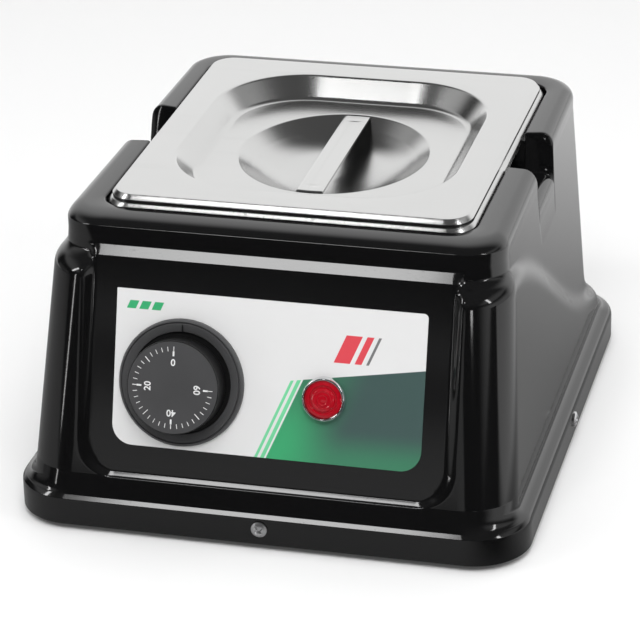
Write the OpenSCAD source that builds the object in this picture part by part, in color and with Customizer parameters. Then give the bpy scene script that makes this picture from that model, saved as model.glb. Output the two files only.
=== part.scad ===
// Countertop chocolate melting tank: a one-sixth gastronorm pan hangs in a heated well,
// inside a gloss black shell with a thermostat and a pilot lamp on its sloping front.
// Millimetres, +Z up, front towards -Y, origin on the ground under the middle of the skirt.

/* [Skirt] */
// How far the skirt stands out beyond the rim in front
skirt_front = 38.3; // [35.3:0.2:45.3]
// How far the skirt stands out beyond the rim at each side
skirt_side = 16.4; // [14.4:0.2:20.4]
// How far the skirt stands out beyond the rim at the rear
skirt_rear = 8.5; // [8:0.5:12]
// Plan radius of the skirt's corners
skirt_r = 25; // [22:1:28]
// Height of the skirt's lower edge above the ground
foot_gap = 3; // [2.5:0.5:4]
// Height at which the skirt's rounded top edge ends
skirt_top = 17.5; // [17:0.5:18.5]
// Radius of the skirt's top edge
edge_r = 4; // [3:0.5:4]
// How far the lower body stands in from the skirt
body_inset = 6; // [5:0.5:7]
// Wall thickness of the shell
wall = 3; // [2.6:0.1:3.2]

/* [Lower body] */
// Height at which the lower body starts
body_start = 22; // [21:0.5:23]
// Lean of the sides, mm inwards per mm of height
side_taper = 0.07; // [0.06:0.005:0.08]
// Lean of the front posts, mm backwards per mm of height
front_slope = 0.262; // [0.255:0.001:0.27]
// Height of the rim above the shoulder at the front
shoulder_drop = 13.1; // [12.9:0.1:14.3]
// Height of the shoulder at the rear
shoulder_rear = 30; // [29:0.5:33]
// Half the height of the shoulder's step
shoulder_half = 4; // [3.5:0.1:4.2]
// Half the height of the bevel above the front panel
bevel_half = 2; // [1.8:0.1:2.6]

/* [Front panel] */
// Distance of the label from the side edges of the recess
label_side = 12.75; // [11:0.25:15]
// Depth of the recess at its lower edge
recess_deep = 1.5; // [1:0.1:2]
// Height of the recess's lower edge
recess_z = 26; // [25.5:0.5:27]
// Radius of the recess's lower corners
recess_r = 14; // [10:1:18]
// Width of the recess's sloping wall
recess_soft = 6; // [5:0.5:6]
// Lean of the panel, mm backwards per mm of height
panel_slope = 0.3015; // [0.295:0.0005:0.305]
// Width of the printed label
label_w = 135.5; // [132:0.5:138]
// Height of the printed label
label_h = 67.5; // [64:0.5:69]
// Thickness of the printed label
label_t = 0.4; // [0.3:0.1:0.6]
// Thickness of the glue layer under the printed label
label_glue = 0.05; // [0.04:0.01:0.1]

/* [Rim and finger notches] */
// Height of the rim above the pan's seat
rim_lift = 3.9; // [3.4:0.1:4.2]
// Height of the rim's rounding
rim_round = 10; // [9:0.5:10]
// Width of the rim in front of the pan
rim_front = 14.7; // [14.1:0.2:15.5]
// Width of the rim beside the pan at its front end
rim_side = 14.6; // [14:0.2:15.4]
// Width of the rim beside the pan at its rear end
rim_side_rear = 11.4; // [11:0.2:12.4]
// Width of the rim behind the pan
rim_rear = 15.5; // [15:0.1:16.2]
// Distance of the finger notches behind the pan's middle
notch_back = 7; // [4:1:9]
// Half width of a finger notch
notch_half = 20.5; // [18:0.5:22]
// Depth of a finger notch below the rim
notch_dip = 18; // [16:1:21]
// Depth of the groove below a finger notch
groove = 5; // [4:0.5:6]

/* [Pan and lid] */
// Width of the pan over its flange
pan_w = 162; // [161:0.5:163]
// Depth of the pan over its flange, front to back
pan_d = 176; // [175:0.5:177]
// Height of the pan
pan_h = 100; // [96:1:102]
// Room between the base plate and the pan's floor
pan_room = 24.7; // [22.7:0.1:27.7]
// Width of the pan's flange
flange_w = 12; // [11:0.5:13]
// Sheet thickness of the pan and lid
sheet = 0.8; // [0.7:0.1:1]
// Height of the lid's turned-down edge
lid_edge = 4.1; // [3.6:0.1:5]
// Depth of the lid's recess
lid_recess = 9.5; // [9:0.5:11]
// Diameter of the lid's dish
dish_d = 94; // [90:1:98]
// Width of the handle strip
strip_w = 12; // [10:0.5:14]

/* [Controls] */
// Diameter of the thermostat bezel
bezel_d = 55; // [53:0.5:57]
// Diameter of the bezel's opening
opening_d = 44; // [43.5:0.1:45]
// Diameter of the knob
knob_d = 40.4; // [39:0.2:41.6]
// Height of the knob's face above the panel
knob_h = 15.4; // [14.6:0.2:17]
// Diameter of the thermostat shaft
shaft_d = 6; // [5.5:0.1:6.5]
// Distance of the knob from the label's left edge
knob_in = 30.25; // [29.25:0.25:31.25]
// Distance of the knob below the label's middle
knob_v = 4.6; // [4:0.2:5]
// Distance of the lamp from the label's right edge
lamp_in = 42.75; // [38:0.25:45]
// Distance of the lamp below the label's middle
lamp_v = 6; // [4:0.5:8]
// Diameter of the lamp's bezel
lamp_d = 19.4; // [18.4:0.2:21]

/* [Hidden] */
$fn = 64;

// Clearances
running_gap = 0.05;
screw_gap = 0.1;
pocket_gap = 1;
wire_gap = 0.4;
post_gap = 9.5;

// Heights of the base plate, pan, seat, rim and lid
sheet_steel = 1.5;
plate_lift = 2;
plate_z = foot_gap + plate_lift;
plate_top = plate_z + sheet_steel;
lip_h = 4;
pan_floor = plate_top + pan_room;
flange_z = pan_floor + pan_h;
seat_z = flange_z - lip_h;
rim_z = seat_z + rim_lift;
collar_z = rim_z - rim_round;
lid_z = flange_z + lid_edge;
under_seat = seat_z - wall;

// Outlines of the pan's pocket and of the collar at the start of the rim's rounding
pocket_w = pan_w + 2 * pocket_gap;
pocket_d = pan_d + 2 * pocket_gap;
seat_in = 8;
pocket_r = 11;
skirt_w = pocket_w + 2 * (rim_side + skirt_side);
skirt_d = pocket_d + rim_front + skirt_front + rim_rear + skirt_rear;
pan_y = (rim_front + skirt_front - rim_rear - skirt_rear) / 2;
collar_a = pocket_w / 2 + rim_side;
collar_ar = pocket_w / 2 + rim_side_rear;
collar_f = pan_y - pocket_d / 2 - rim_front;
collar_b = pan_y + pocket_d / 2 + rim_rear;
collar_r = 19;
collar_taper = 0.07;
brow_slope = 0.06;
rear_taper = 0.02;
rim_share = 0.58;
rim_share_rear = 0.35;
edge_in = 0.8 * edge_r;
drop = 2.5;

// Panel plane behind the front posts, its lean and its thickness square to the face
front_share = 0.85;
recess_w = label_w + 2 * label_side;
shoulder_front = rim_z - shoulder_drop;
tilt = atan(panel_slope);
panel_f = front_share * body_inset - skirt_d / 2 + front_slope * (recess_z - body_start) + recess_deep;
panel_t = (wall + drop * panel_slope) * cos(tilt);
label_low = 0.9;
label_z = (recess_z + shoulder_front) / 2 - label_low;
knob_x = label_w / 2 - knob_in;
lamp_x = label_w / 2 - lamp_in;

// Finger notches and the line of the shoulder
notch_y = pan_y + notch_back;
notch_soft = 4;
groove_top = collar_z - 3;
groove_z = groove_top - 14;
dip_z = collar_z - 41;
shoulder_y0 = collar_f + 3.7;
shoulder_y1 = collar_b + 0.5;

// Well, base plate and fasteners
well_t = 1.2;
pan_body_w = pan_w - 2 * flange_w;
pan_body_d = pan_d - 2 * flange_w;
pan_r = 22;
well_gap = 2.8;
well_w = pan_body_w + 2 * well_gap + 2 * well_t;
well_d = pan_body_d + 2 * well_gap + 2 * well_t;
well_r = pan_r + well_gap + well_t;
well_top = pan_floor - 4;
well_under = well_top - well_t;
wrap_t = 5;
screw_d = 3.5;
skirt_screw_l = 9;
foot_screw_l = 6;
post_screw_l = 8;
panel_screw_l = 6;
block_screw_l = 3;
through = 40;
head_d = 7;
head_h = 1.8;
skirt_screw_z = 10.4;
tab_w = 22;
tab_rise = 3.1;
foot_d = 18;
foot_bore = 9;
foot_x = skirt_w / 2 - 25;
foot_y = skirt_d / 2 - 27.5;
post_in = 14;
post_x = pan_body_w / 2 - post_in;
post_y = pan_body_d / 2 - post_in;
mat_side = 19;
mat_end = 28;
mat_w = pan_body_w - 2 * mat_side;
mat_d = pan_body_d - 2 * mat_end;
mat_t = 2;
mat_r = 6;
bulb_d = 6;
bulb_clear = 25;
bulb_l = 2 * (post_x - bulb_clear);
bulb_in = 18;
bulb_y = pan_y - pan_body_d / 2 + bulb_in;
bulb_z = well_under - bulb_d / 2;
bush_d = 10;
fix_x = 14;
body_w = 40;
body_h = 34;
body_deep = 24;
lamp_barrel = 12;
lamp_deep = 20;
gland_in = 33.4;
gland_up = 25;
gland_x = gland_in - collar_ar;
gland_z = shoulder_rear + gland_up;
gland_d = 16;
gland_bore = 8;
gland_hex = 24;
gland_hex_h = 3;
gland_nose = 18;
gland_out = 7;
gland_thread = 9;
gland_nut_h = 4;
gland_y = collar_b + rear_taper * (collar_z - gland_z);
rear_lean = atan(rear_taper);
rear_t = (wall + drop * rear_taper) * cos(rear_lean);

// Colours
black = [0.03, 0.03, 0.032];
dark = [0.1, 0.1, 0.105];
steel = [0.78, 0.79, 0.8];
zinc = [0.7, 0.71, 0.72];

function smooth(t) = let (c = max(0, min(1, t))) c * c * (3 - 2 * c);
function mix(a, b, t) = a + (b - a) * t;

// Point of the right half of a rounded outline, from the front middle round to the rear middle.
// A station holds its stretch (front, corner, side, corner, rear) and its share of that stretch.
function outline(st, a, ar, f, b, r) =
    let (part = st[0], q = st[1])
    part == 0 ? [(a - r) * q, f] :
    part == 1 ? [a - r + r * sin(90 * q), f + r - r * cos(90 * q)] :
    part == 2 ? [mix(a, ar, q), mix(f + r, b - r, q)] :
    part == 3 ? [ar - r + r * cos(90 * q), b - r + r * sin(90 * q)] :
    [(ar - r) * (1 - q), b];

// Outward direction at a station, in plan
function outward(st) =
    let (part = st[0], t = 90 * st[1])
    part == 0 ? [0, -1] :
    part == 1 ? [sin(t), -cos(t)] :
    part == 2 ? [1, 0] :
    part == 3 ? [cos(t), sin(t)] :
    [0, 1];

// Inset of the skirt's rounded edge and of the cove above it
function skirt_inset(z) =
    let (
        edge = skirt_top - edge_r,
        t = (z - edge) / edge_r,
        c = (z - skirt_top) / (body_start - skirt_top)
    )
    z <= edge ? 0 :
    z <= skirt_top ? edge_in * (1 - sqrt(max(0, 1 - t * t))) :
    mix(edge_in, body_inset, 1 - pow(max(0, 1 - c), 2.2));

// Skirt and lower body
function low_point(st, z) =
    let (
        i = skirt_inset(min(z, body_start)),
        h = max(0, z - body_start),
        a = skirt_w / 2 - i - side_taper * h
    )
    outline(st, a, a, front_share * i - skirt_d / 2 + front_slope * h, skirt_d / 2 - i, skirt_r - i / 2);

// Upper body under the rim
function up_point(st, z) =
    let (h = collar_z - z)
    outline(st, collar_a + collar_taper * h, collar_ar + collar_taper * h,
        collar_f - brow_slope * h, collar_b + rear_taper * h, collar_r);

// Height of the shoulder, which falls in a long curve from the front to the rear
function shoulder(y) =
    let (t = max(0, min(1, (y - shoulder_y0) / (shoulder_y1 - shoulder_y0))))
    shoulder_rear + (shoulder_front - shoulder_rear) * (1 + cos(180 * t)) / 2;

// One inside the front recess, nought on the posts and the ledge
function recess(x, z) =
    let (
        dx = x - (recess_w / 2 - recess_r),
        dz = recess_z + recess_r - z,
        d = norm([max(dx, 0), max(dz, 0)]) + min(max(dx, dz), 0) - recess_r
    )
    smooth(0.5 - d / recess_soft);

function panel_y(z) = panel_f + panel_slope * (z - recess_z);

// One in the middle of a finger notch, nought beside it
function notch(st, z) =
    st[0] == 2 ? smooth((notch_half + notch_soft / 2 - abs(up_point(st, z)[1] - notch_y)) / notch_soft) : 0;
function dip(st, z) = notch_dip * notch(st, z) * smooth((z - dip_z) / (collar_z - dip_z));

// Share of the shoulder's step: soft round the body, a flat bevel where m is one
function step_share(t, m) = let (c = max(0, min(1, t))) mix(smooth(c), c, m);

// Outer face of the shell up to the start of the rim's rounding
function outer(st, z) =
    let (
        low = low_point(st, z),
        up = up_point(st, z),
        m = st[0] < 2 ? recess(low[0], z) : 0,
        half = mix(shoulder_half, bevel_half, m),
        s = step_share((z - shoulder(up[1])) / (2 * half) + 0.5, m),
        y = low[1] + m * max(0, panel_y(z) - low[1]),
        g = groove * notch(st, z) * smooth((z - groove_z) / (groove_top - groove_z))
    )
    [mix(low[0], up[0], s) - g, mix(y, up[1], s), z - dip(st, z)];

// Inner face: the outer face at another height, one wall thickness further in
function inner(st, z, from) =
    let (p = outer(st, from), n = outward(st))
    [p[0] - wall * n[0], p[1] - wall * n[1], p[2] + z - from];

function pocket(st, grow) =
    outline(st, pocket_w / 2 + grow, pocket_w / 2 + grow,
        pan_y - pocket_d / 2 - grow, pan_y + pocket_d / 2 + grow, pocket_r + grow / 2);

// Share of the rim's width that its rounding takes, less at the rear
function round_share(st) =
    st[0] < 3 ? rim_share : mix(rim_share, rim_share_rear, st[0] == 3 ? st[1] : 1);

function rim_point(st, turn) =
    let (p = outer(st, collar_z), e = pocket(st, 0), t = round_share(st) * (1 - cos(turn)))
    [mix(p[0], e[0], t), mix(p[1], e[1], t), p[2] + rim_round * sin(turn)];

// Stations of the right half, closer together at the recess's edge and the notch's ends
function side_share(y) = (y - collar_f - collar_r) / (collar_b - collar_f - 2 * collar_r);
post_r = skirt_r - body_inset / 2;
post_start = skirt_w / 2 - body_inset - side_taper * (label_z - body_start) - post_r;
function front_station(x) =
    x < post_start ? [0, x / post_start] : [1, asin((x - post_start) / post_r) / 90];
recess_edge = [-17, -10.4, -7, -4.6, -1.8, 1.1, 3.5, 6.2];
recess_end = front_station(recess_w / 2 + recess_edge[7])[1];
half_stations = concat(
    [for (q = [0.15, 0.5]) front_station(q * recess_w / 2)],
    [for (x = recess_edge) front_station(recess_w / 2 + x)],
    [for (q = [0.14, 0.32, 0.53, 0.77]) [1, mix(recess_end, 1, q)]],
    [for (q = [0:0.1:0.3]) [2, q]],
    [for (k = [-1:0.5:1]) [2, side_share(notch_y - notch_half + k * notch_soft / 2)]],
    [for (k = [-0.5:0.5:0.5]) [2, side_share(notch_y + k * notch_half)]],
    [for (k = [-1:0.5:1]) [2, side_share(notch_y + notch_half + k * notch_soft / 2)]],
    [for (q = [0.74, 0.82, 0.91]) [2, q]],
    [for (k = [0:5]) [3, k / 6]],
    [for (k = [0:1]) [4, k / 2]]
);
half_count = len(half_stations);

// Heights at which the faces are sampled
middle_levels = [for (k = [0:9]) mix(recess_z + 8, shoulder_front - 9.5, k / 9)];
outer_levels = concat(
    [foot_gap],
    [for (t = [0:30:90]) skirt_top - edge_r + edge_r * sin(t)],
    [for (k = [1:3]) mix(skirt_top, body_start, k / 3)],
    [for (k = [0:4]) recess_z + (k / 4 - 0.5) * recess_soft],
    middle_levels,
    [shoulder_front - shoulder_half],
    [for (k = [-1:1]) shoulder_front + k * bevel_half],
    [collar_z]
);
inner_levels = concat(
    [collar_z],
    [for (k = [1:-1:-1]) shoulder_front + k * bevel_half],
    [for (k = [9:-1:0]) middle_levels[k]],
    [for (k = [2:-1:0]) recess_z + (k / 2 - 0.5) * recess_soft]
);
rows = concat(
    [for (z = outer_levels) ["outer", z, 0]],
    [for (t = [22.5:22.5:90]) ["rim", t, 0]],
    [["pocket", 1.2, rim_z], ["pocket", 0, rim_z - 1.2], ["pocket", 0, seat_z]],
    [["pocket", -seat_in, seat_z], ["pocket", -seat_in, under_seat], ["pocket", 3, under_seat]],
    [for (z = inner_levels) ["inner", z - drop, z]],
    [["inner", skirt_top - 2, body_start], ["inner", skirt_top - 3.5, foot_gap + 1]],
    [["inner", foot_gap, foot_gap]]
);

function grid_point(row, st) =
    row[0] == "outer" ? outer(st, row[1]) :
    row[0] == "rim" ? rim_point(st, row[1]) :
    row[0] == "inner" ? inner(st, row[1], row[2]) :
    concat(pocket(st, row[1]), [row[2] - dip(st, collar_z)]);

// The whole ring of a row: the right half, then its mirror image back to the front
function ring(row) =
    let (half = [for (st = half_stations) grid_point(row, st)])
    concat(half, [for (k = [half_count - 1:-1:0]) [-half[k][0], half[k][1], half[k][2]]]);

module shell_skin() {
    ring_count = 2 * half_count;
    row_count = len(rows);
    points = [for (row = rows) each ring(row)];
    faces = [
        for (r = [0:row_count - 1], k = [0:ring_count - 1])
        let (
            next_row = (r + 1) % row_count,
            next = (k + 1) % ring_count,
            p0 = r * ring_count + k,
            p1 = r * ring_count + next,
            p2 = next_row * ring_count + next,
            p3 = next_row * ring_count + k
        )
        each [[p0, p3, p2], [p0, p2, p1]]
    ];
    polyhedron(points, faces);
}

// Places children on the panel: x to the right, y up the slope, z out of the face
module on_panel(x, v) {
    translate([x, panel_y(label_z) + v * sin(tilt), label_z + v * cos(tilt)])
        rotate([90 - tilt, 0, 0])
            children();
}

// Places children on the rear wall at the cable gland, z out of the face
module on_rear() {
    translate([gland_x, gland_y, gland_z])
        rotate([-90 + rear_lean, 0, 0])
            children();
}

// Places children at the middle of each side of the skirt, z into the body
module at_skirt_screws() {
    for (turn = [0, 180])
        rotate([0, 0, turn]) {
            translate([0, -skirt_d / 2, skirt_screw_z])
                rotate([-90, 0, 0])
                    children();
            translate([skirt_w / 2, 0, skirt_screw_z])
                rotate([-90, 0, 90])
                    children();
        }
}

module at_corners(x, y) {
    for (sx = [-1, 1], sy = [-1, 1])
        translate([sx * x, sy * y, 0])
            children();
}

module rounded(w, d, r) {
    square([w - 2 * r, d], center = true);
    square([w, d - 2 * r], center = true);
    at_corners(w / 2 - r, d / 2 - r)
        circle(r);
}

module slab(w, d, r, z0, z1) {
    translate([0, 0, z0])
        linear_extrude(z1 - z0)
            rounded(w, d, r);
}

module band(w, d, r, t, z0, z1) {
    translate([0, 0, z0])
        linear_extrude(z1 - z0)
            difference() {
                rounded(w, d, r);
                rounded(w - 2 * t, d - 2 * t, r - t);
            }
}

// Screw with its head's seat at z = 0, head up and shank down
module screw(d, length, head, height) {
    difference() {
        union() {
            cylinder(d = head, h = height);
            translate([0, 0, -length])
                cylinder(d = d, h = length + 0.01);
        }
        for (turn = [0, 90])
            rotate([0, 0, turn])
                translate([0, 0, height])
                    cube([0.55 * head, 0.9, 2 * 0.6 * height], center = true);
    }
}

// Direction of a wire at one of its points, halfway between its two stretches
function unit(v) = v / norm(v);
function wire_run(points, k) =
    let (
        before = k > 0 ? unit(points[k] - points[k - 1]) : [0, 0, 0],
        after = k < len(points) - 1 ? unit(points[k + 1] - points[k]) : [0, 0, 0]
    )
    unit(before + after);

// Tube through a list of points
module wire(points, d) {
    sides = 10;
    count = len(points);
    skew = [0.35, 0.2, 0.9];
    rings = [
        for (k = [0:count - 1])
        let (
            run = wire_run(points, k),
            side = unit(cross(run, skew)),
            rise = cross(run, side)
        )
        for (j = [0:sides - 1])
            points[k] + d / 2 * (cos(360 * j / sides) * side + sin(360 * j / sides) * rise)
    ];
    walls = [
        for (k = [0:count - 2], j = [0:sides - 1])
        let (
            p0 = k * sides + j,
            p1 = k * sides + (j + 1) % sides,
            p2 = p1 + sides,
            p3 = p0 + sides
        )
        each [[p0, p3, p2], [p0, p2, p1]]
    ];
    first = [for (j = [0:sides - 1]) j];
    last = [for (j = [sides - 1:-1:0]) (count - 1) * sides + j];
    polyhedron(rings, concat(walls, [first, last]));
}

module housing_shell() {
    color(black)
        difference() {
            shell_skin();
            on_panel(-knob_x, -knob_v)
                thermostat_holes(bush_d + 4 * screw_gap, 20);
            on_panel(lamp_x, -lamp_v)
                cylinder(d = lamp_barrel + 4 * screw_gap, h = 20, center = true);
            at_skirt_screws()
                cylinder(d = screw_d + 4 * screw_gap, h = 12, center = true);
            on_rear()
                cylinder(d = gland_d + 4 * screw_gap, h = 14, center = true);
        }
}

// Bush hole and two screw holes, through the panel and what lies on it
module thermostat_holes(d, h) {
    cylinder(d = d, h = h, center = true);
    for (sx = [-1, 1])
        translate([sx * fix_x, 0, 0])
            cylinder(d = screw_d + 6 * screw_gap, h = h, center = true);
}

module base_plate() {
    gap = 0.5;
    color(zinc)
        difference() {
            union() {
                slab(skirt_w - 2 * (wall + gap), skirt_d - 2 * (wall + gap), skirt_r - wall, plate_z, plate_top);
                at_skirt_screws()
                    translate([-tab_w / 2, -tab_rise, wall])
                        cube([tab_w, skirt_screw_z - plate_z + tab_rise, sheet_steel]);
            }
            at_skirt_screws()
                cylinder(d = screw_d + 2 * screw_gap, h = through, center = true);
            at_corners(foot_x, foot_y)
                cylinder(d = screw_d + 2 * screw_gap, h = through);
            translate([0, pan_y, 0])
                at_corners(post_x, post_y)
                    cylinder(d = screw_d + 2 * screw_gap, h = through);
            at_terminal_screws()
                cylinder(d = screw_d + 2 * screw_gap, h = through);
            for (k = [-3:3])
                translate([14 * k, pan_y, plate_z])
                    cube([5, 60, 10], center = true);
        }
}

module shell_screws() {
    color(steel)
        at_skirt_screws()
            rotate([180, 0, 0])
                screw(screw_d, skirt_screw_l, head_d, head_h);
}

module foot(sx, sy) {
    color(dark)
        translate([sx * foot_x, sy * foot_y, 0])
            difference() {
                cylinder(d = foot_d, h = plate_z);
                translate([0, 0, -1])
                    cylinder(d = foot_bore, h = plate_z - 1);
                cylinder(d = screw_d + 2 * screw_gap, h = plate_z + 1);
            }
}

module foot_front_left() { foot(-1, -1); }
module foot_front_right() { foot(1, -1); }
module foot_rear_left() { foot(-1, 1); }
module foot_rear_right() { foot(1, 1); }

module foot_screws() {
    color(steel)
        at_corners(foot_x, foot_y)
            translate([0, 0, plate_z - 2])
                rotate([180, 0, 0])
                    screw(screw_d, foot_screw_l, head_d, head_h);
}

module pan() {
    color(steel)
        translate([0, pan_y, 0])
            difference() {
                union() {
                    slab(pan_body_w, pan_body_d, pan_r, pan_floor, flange_z);
                    slab(pan_w, pan_d, 10, flange_z - sheet, flange_z);
                    band(pan_w, pan_d, 10, 1, seat_z, flange_z - sheet / 2);
                }
                slab(pan_body_w - 2 * sheet, pan_body_d - 2 * sheet, pan_r - sheet,
                    pan_floor + sheet, flange_z + 1);
            }
}

// Lid sizes: the recess's outline and the heights of its floor
recess_side = 18;
lid_in_w = pan_w - 2 * recess_side;
lid_in_d = pan_d - 2 * (recess_side + 1);
lid_in_r = 40;
lid_floor = lid_z - lid_recess;
dish_curve = [[1, 0], [0.93, 2.2], [0.81, 6.2], [0.6, 9.6], [0.3, 11.4], [0, 12]];

module lid() {
    color(steel)
        translate([0, pan_y, 0]) {
            difference() {
                union() {
                    slab(pan_w, pan_d, 10, lid_z - sheet, lid_z);
                    band(pan_w, pan_d, 10, 1, flange_z, lid_z - sheet / 2);
                    slab(lid_in_w, lid_in_d, lid_in_r, lid_floor - sheet, lid_z);
                }
                slab(lid_in_w - 2 * sheet, lid_in_d - 2 * sheet, lid_in_r - sheet, lid_floor, lid_z + 1);
                cylinder(d = dish_d, h = 2 * lid_z);
            }
            translate([0, 0, lid_floor])
                rotate_extrude()
                    polygon(concat(
                        [for (p = dish_curve) [p[0] * dish_d / 2, -p[1]]],
                        [for (k = [len(dish_curve) - 1:-1:0])
                            [dish_curve[k][0] * dish_d / 2, -dish_curve[k][1] - sheet]]
                    ));
        }
}

module lid_handle() {
    thick = 1.2;
    color(steel)
        translate([0, pan_y, lid_floor + 0.3 - thick])
            intersection() {
                translate([-strip_w / 2, -dish_d / 2, 0])
                    cube([strip_w, dish_d, thick]);
                cylinder(d = 0.967 * dish_d, h = thick);
            }
}

module heating_well() {
    color(zinc)
        translate([0, pan_y, 0])
            difference() {
                union() {
                    slab(well_w, well_d, well_r, well_under, under_seat);
                    slab(well_w + 10, well_d + 10, well_r + 5, under_seat - well_t, under_seat);
                }
                slab(well_w - 2 * well_t, well_d - 2 * well_t, well_r - well_t, well_top, under_seat + 1);
                for (sx = [-1, 1])
                    translate([sx * (well_w / 2 + 10), notch_back, under_seat])
                        cube([20, 2 * notch_half + 8, 10], center = true);
                at_corners(post_x, post_y)
                    cylinder(d = screw_d + 2 * screw_gap, h = 2 * well_top);
            }
}

module heating_mat() {
    color([0.75, 0.32, 0.12])
        translate([0, pan_y, 0])
            slab(mat_w, mat_d, mat_r, well_under - mat_t, well_under);
}

module insulation_wrap() {
    color([0.86, 0.83, 0.7])
        translate([0, pan_y, 0])
            band(well_w + 2 * wrap_t, well_d + 2 * wrap_t, well_r + wrap_t, wrap_t,
                well_under + 10, rim_z - notch_dip - 10);
}

module thermal_cutout() {
    color([0.2, 0.18, 0.17])
        translate([0, pan_y + post_y, well_under - cutout_h]) {
            cylinder(d = cutout_d, h = cutout_h);
            for (sx = [-1, 1])
                translate([sx * (tab_out - tab_l / 2), 0, 3])
                    cube([tab_l, 6.3, 0.8], center = true);
        }
}

module well_standoffs() {
    color(zinc)
        translate([0, pan_y, plate_top])
            at_corners(post_x, post_y)
                difference() {
                    cylinder(d = 9, h = well_under - plate_top);
                    cylinder(d = screw_d + 2 * screw_gap, h = well_under);
                }
}

module standoff_screws() {
    color(steel)
        translate([0, pan_y, plate_z])
            at_corners(post_x, post_y)
                rotate([180, 0, 0])
                    screw(screw_d, post_screw_l, head_d, head_h);
}

module well_screws() {
    color(steel)
        translate([0, pan_y, well_top])
            at_corners(post_x, post_y)
                screw(screw_d, post_screw_l, head_d, head_h);
}

// Label with a square upper left corner, a small upper right radius and round lower corners
module control_label() {
    small_r = 2;
    large_r = 9;
    color([0.93, 0.94, 0.93])
        on_panel(0, 0)
            difference() {
                translate([0, 0, label_glue]) linear_extrude(label_t - label_glue) {
                    translate([-label_w / 2, large_r - label_h / 2])
                        square([label_w, label_h - large_r - small_r]);
                    translate([-label_w / 2, label_h / 2 - small_r - 0.01])
                        square([label_w - small_r, small_r + 0.01]);
                    translate([label_w / 2 - small_r, label_h / 2 - small_r])
                        circle(small_r);
                    translate([large_r - label_w / 2, -label_h / 2])
                        square([label_w - 2 * large_r, large_r + 0.01]);
                    for (sx = [-1, 1])
                        translate([sx * (label_w / 2 - large_r), large_r - label_h / 2])
                            circle(large_r);
                }
                translate([-knob_x, -knob_v, 0])
                    thermostat_holes(bush_d + 6 * screw_gap, 4);
                translate([lamp_x, -lamp_v, 0])
                    cylinder(d = lamp_barrel + 4 * screw_gap, h = 4, center = true);
            }
}

module thermostat_body() {
    color([0.5, 0.48, 0.42])
        on_panel(-knob_x, -knob_v)
            difference() {
                union() {
                    translate([-body_w / 2, -body_h / 2, -panel_t - body_deep])
                        cube([body_w, body_h, body_deep]);
                    translate([0, 0, -panel_t - 1])
                        cylinder(d = bush_d, h = panel_t + 2.4);
                }
                translate([0, 0, -12])
                    cylinder(d = shaft_d + 2 * running_gap, h = 20);
                for (sx = [-1, 1])
                    translate([sx * fix_x, 0, -panel_t - 7])
                        cylinder(d = screw_d + 2 * screw_gap, h = 20);
            }
}

bezel_floor = label_t + 1.2;

module thermostat_screws() {
    color(steel)
        on_panel(-knob_x, -knob_v)
            for (sx = [-1, 1])
                translate([sx * fix_x, 0, bezel_floor])
                    screw(screw_d, panel_t + panel_screw_l, head_d, head_h);
}

module thermostat_bezel() {
    color(dark)
        on_panel(-knob_x, -knob_v)
            difference() {
                rotate_extrude()
                    polygon([
                        [bush_d / 2 + 0.5, label_t], [bezel_d / 2, label_t],
                        [bezel_d / 2, 2.6], [bezel_d / 2 - 0.8, 3.4],
                        [opening_d / 2 + 0.6, 2.9], [opening_d / 2, 2.4],
                        [opening_d / 2, bezel_floor], [bush_d / 2 + 0.5, bezel_floor]
                    ]);
                for (sx = [-1, 1])
                    translate([sx * fix_x, 0, 0])
                        cylinder(d = screw_d + 4 * screw_gap, h = 10, center = true);
            }
}

shaft_top = knob_h - 3.4;

module thermostat_shaft() {
    color(zinc)
        on_panel(-knob_x, -knob_v)
            translate([0, 0, -10])
                cylinder(d = shaft_d, h = shaft_top + 10);
}

module thermostat_knob() {
    r = knob_d / 2;
    back = 4.2;
    color(dark)
        on_panel(-knob_x, -knob_v)
            rotate_extrude()
                polygon(concat(
                    [[shaft_d / 2, back + 0.8], [6, back + 0.8], [6, shaft_top], [r - 2, shaft_top]],
                    [[r - 2, back], [r, back]],
                    [for (t = [0:15:90]) [r - 2 + 2 * cos(t), knob_h - 2.8 + 2 * sin(t)]],
                    [[r / 2, knob_h - 0.2], [0, knob_h], [0, shaft_top], [shaft_d / 2, shaft_top]]
                ));
}

module sensor_bulb() {
    color([0.72, 0.45, 0.25])
        translate([-bulb_l / 2, bulb_y, bulb_z])
            rotate([0, 90, 0])
                cylinder(d = bulb_d, h = bulb_l);
}

module bulb_clip() {
    color(zinc)
        translate([-6, bulb_y, bulb_z])
            rotate([90, 0, 90])
                linear_extrude(12)
                    difference() {
                        union() {
                            circle(bulb_d / 2 + 1);
                            translate([-bulb_d / 2 - 1, 0])
                                square([bulb_d + 2, bulb_d / 2]);
                            translate([-9, bulb_d / 2 - 1])
                                square([18, 1]);
                        }
                        circle(bulb_d / 2);
                        translate([-bulb_d / 2, 0])
                            square([bulb_d, bulb_d]);
                    }
}

module capillary_tube() {
    start = -body_h / 2 - wire_gap;
    deep = -panel_t - 14;
    color([0.72, 0.45, 0.25])
        wire([
            thermostat_spot([0, start, deep]), thermostat_spot([0, start - 10, deep]),
            [-knob_x - 4, bulb_y - 36, bulb_z + 4], [post_gap - post_x, bulb_y - 16, bulb_z],
            [-bulb_l / 2 - 8, bulb_y, bulb_z], [-bulb_l / 2 - wire_gap, bulb_y, bulb_z]
        ], tube_d);
}

// A point of the thermostat in the part's own frame
function panel_spot(x, v, p) = [
    x + p[0],
    panel_y(label_z) + (v + p[1]) * sin(tilt) - p[2] * cos(tilt),
    label_z + (v + p[1]) * cos(tilt) + p[2] * sin(tilt)
];
function thermostat_spot(p) = panel_spot(-knob_x, -knob_v, p);

module lamp_body() {
    color(dark)
        on_panel(lamp_x, -lamp_v)
            translate([0, 0, -lamp_deep])
                cylinder(d = lamp_barrel, h = lamp_deep + label_t);
}

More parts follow.
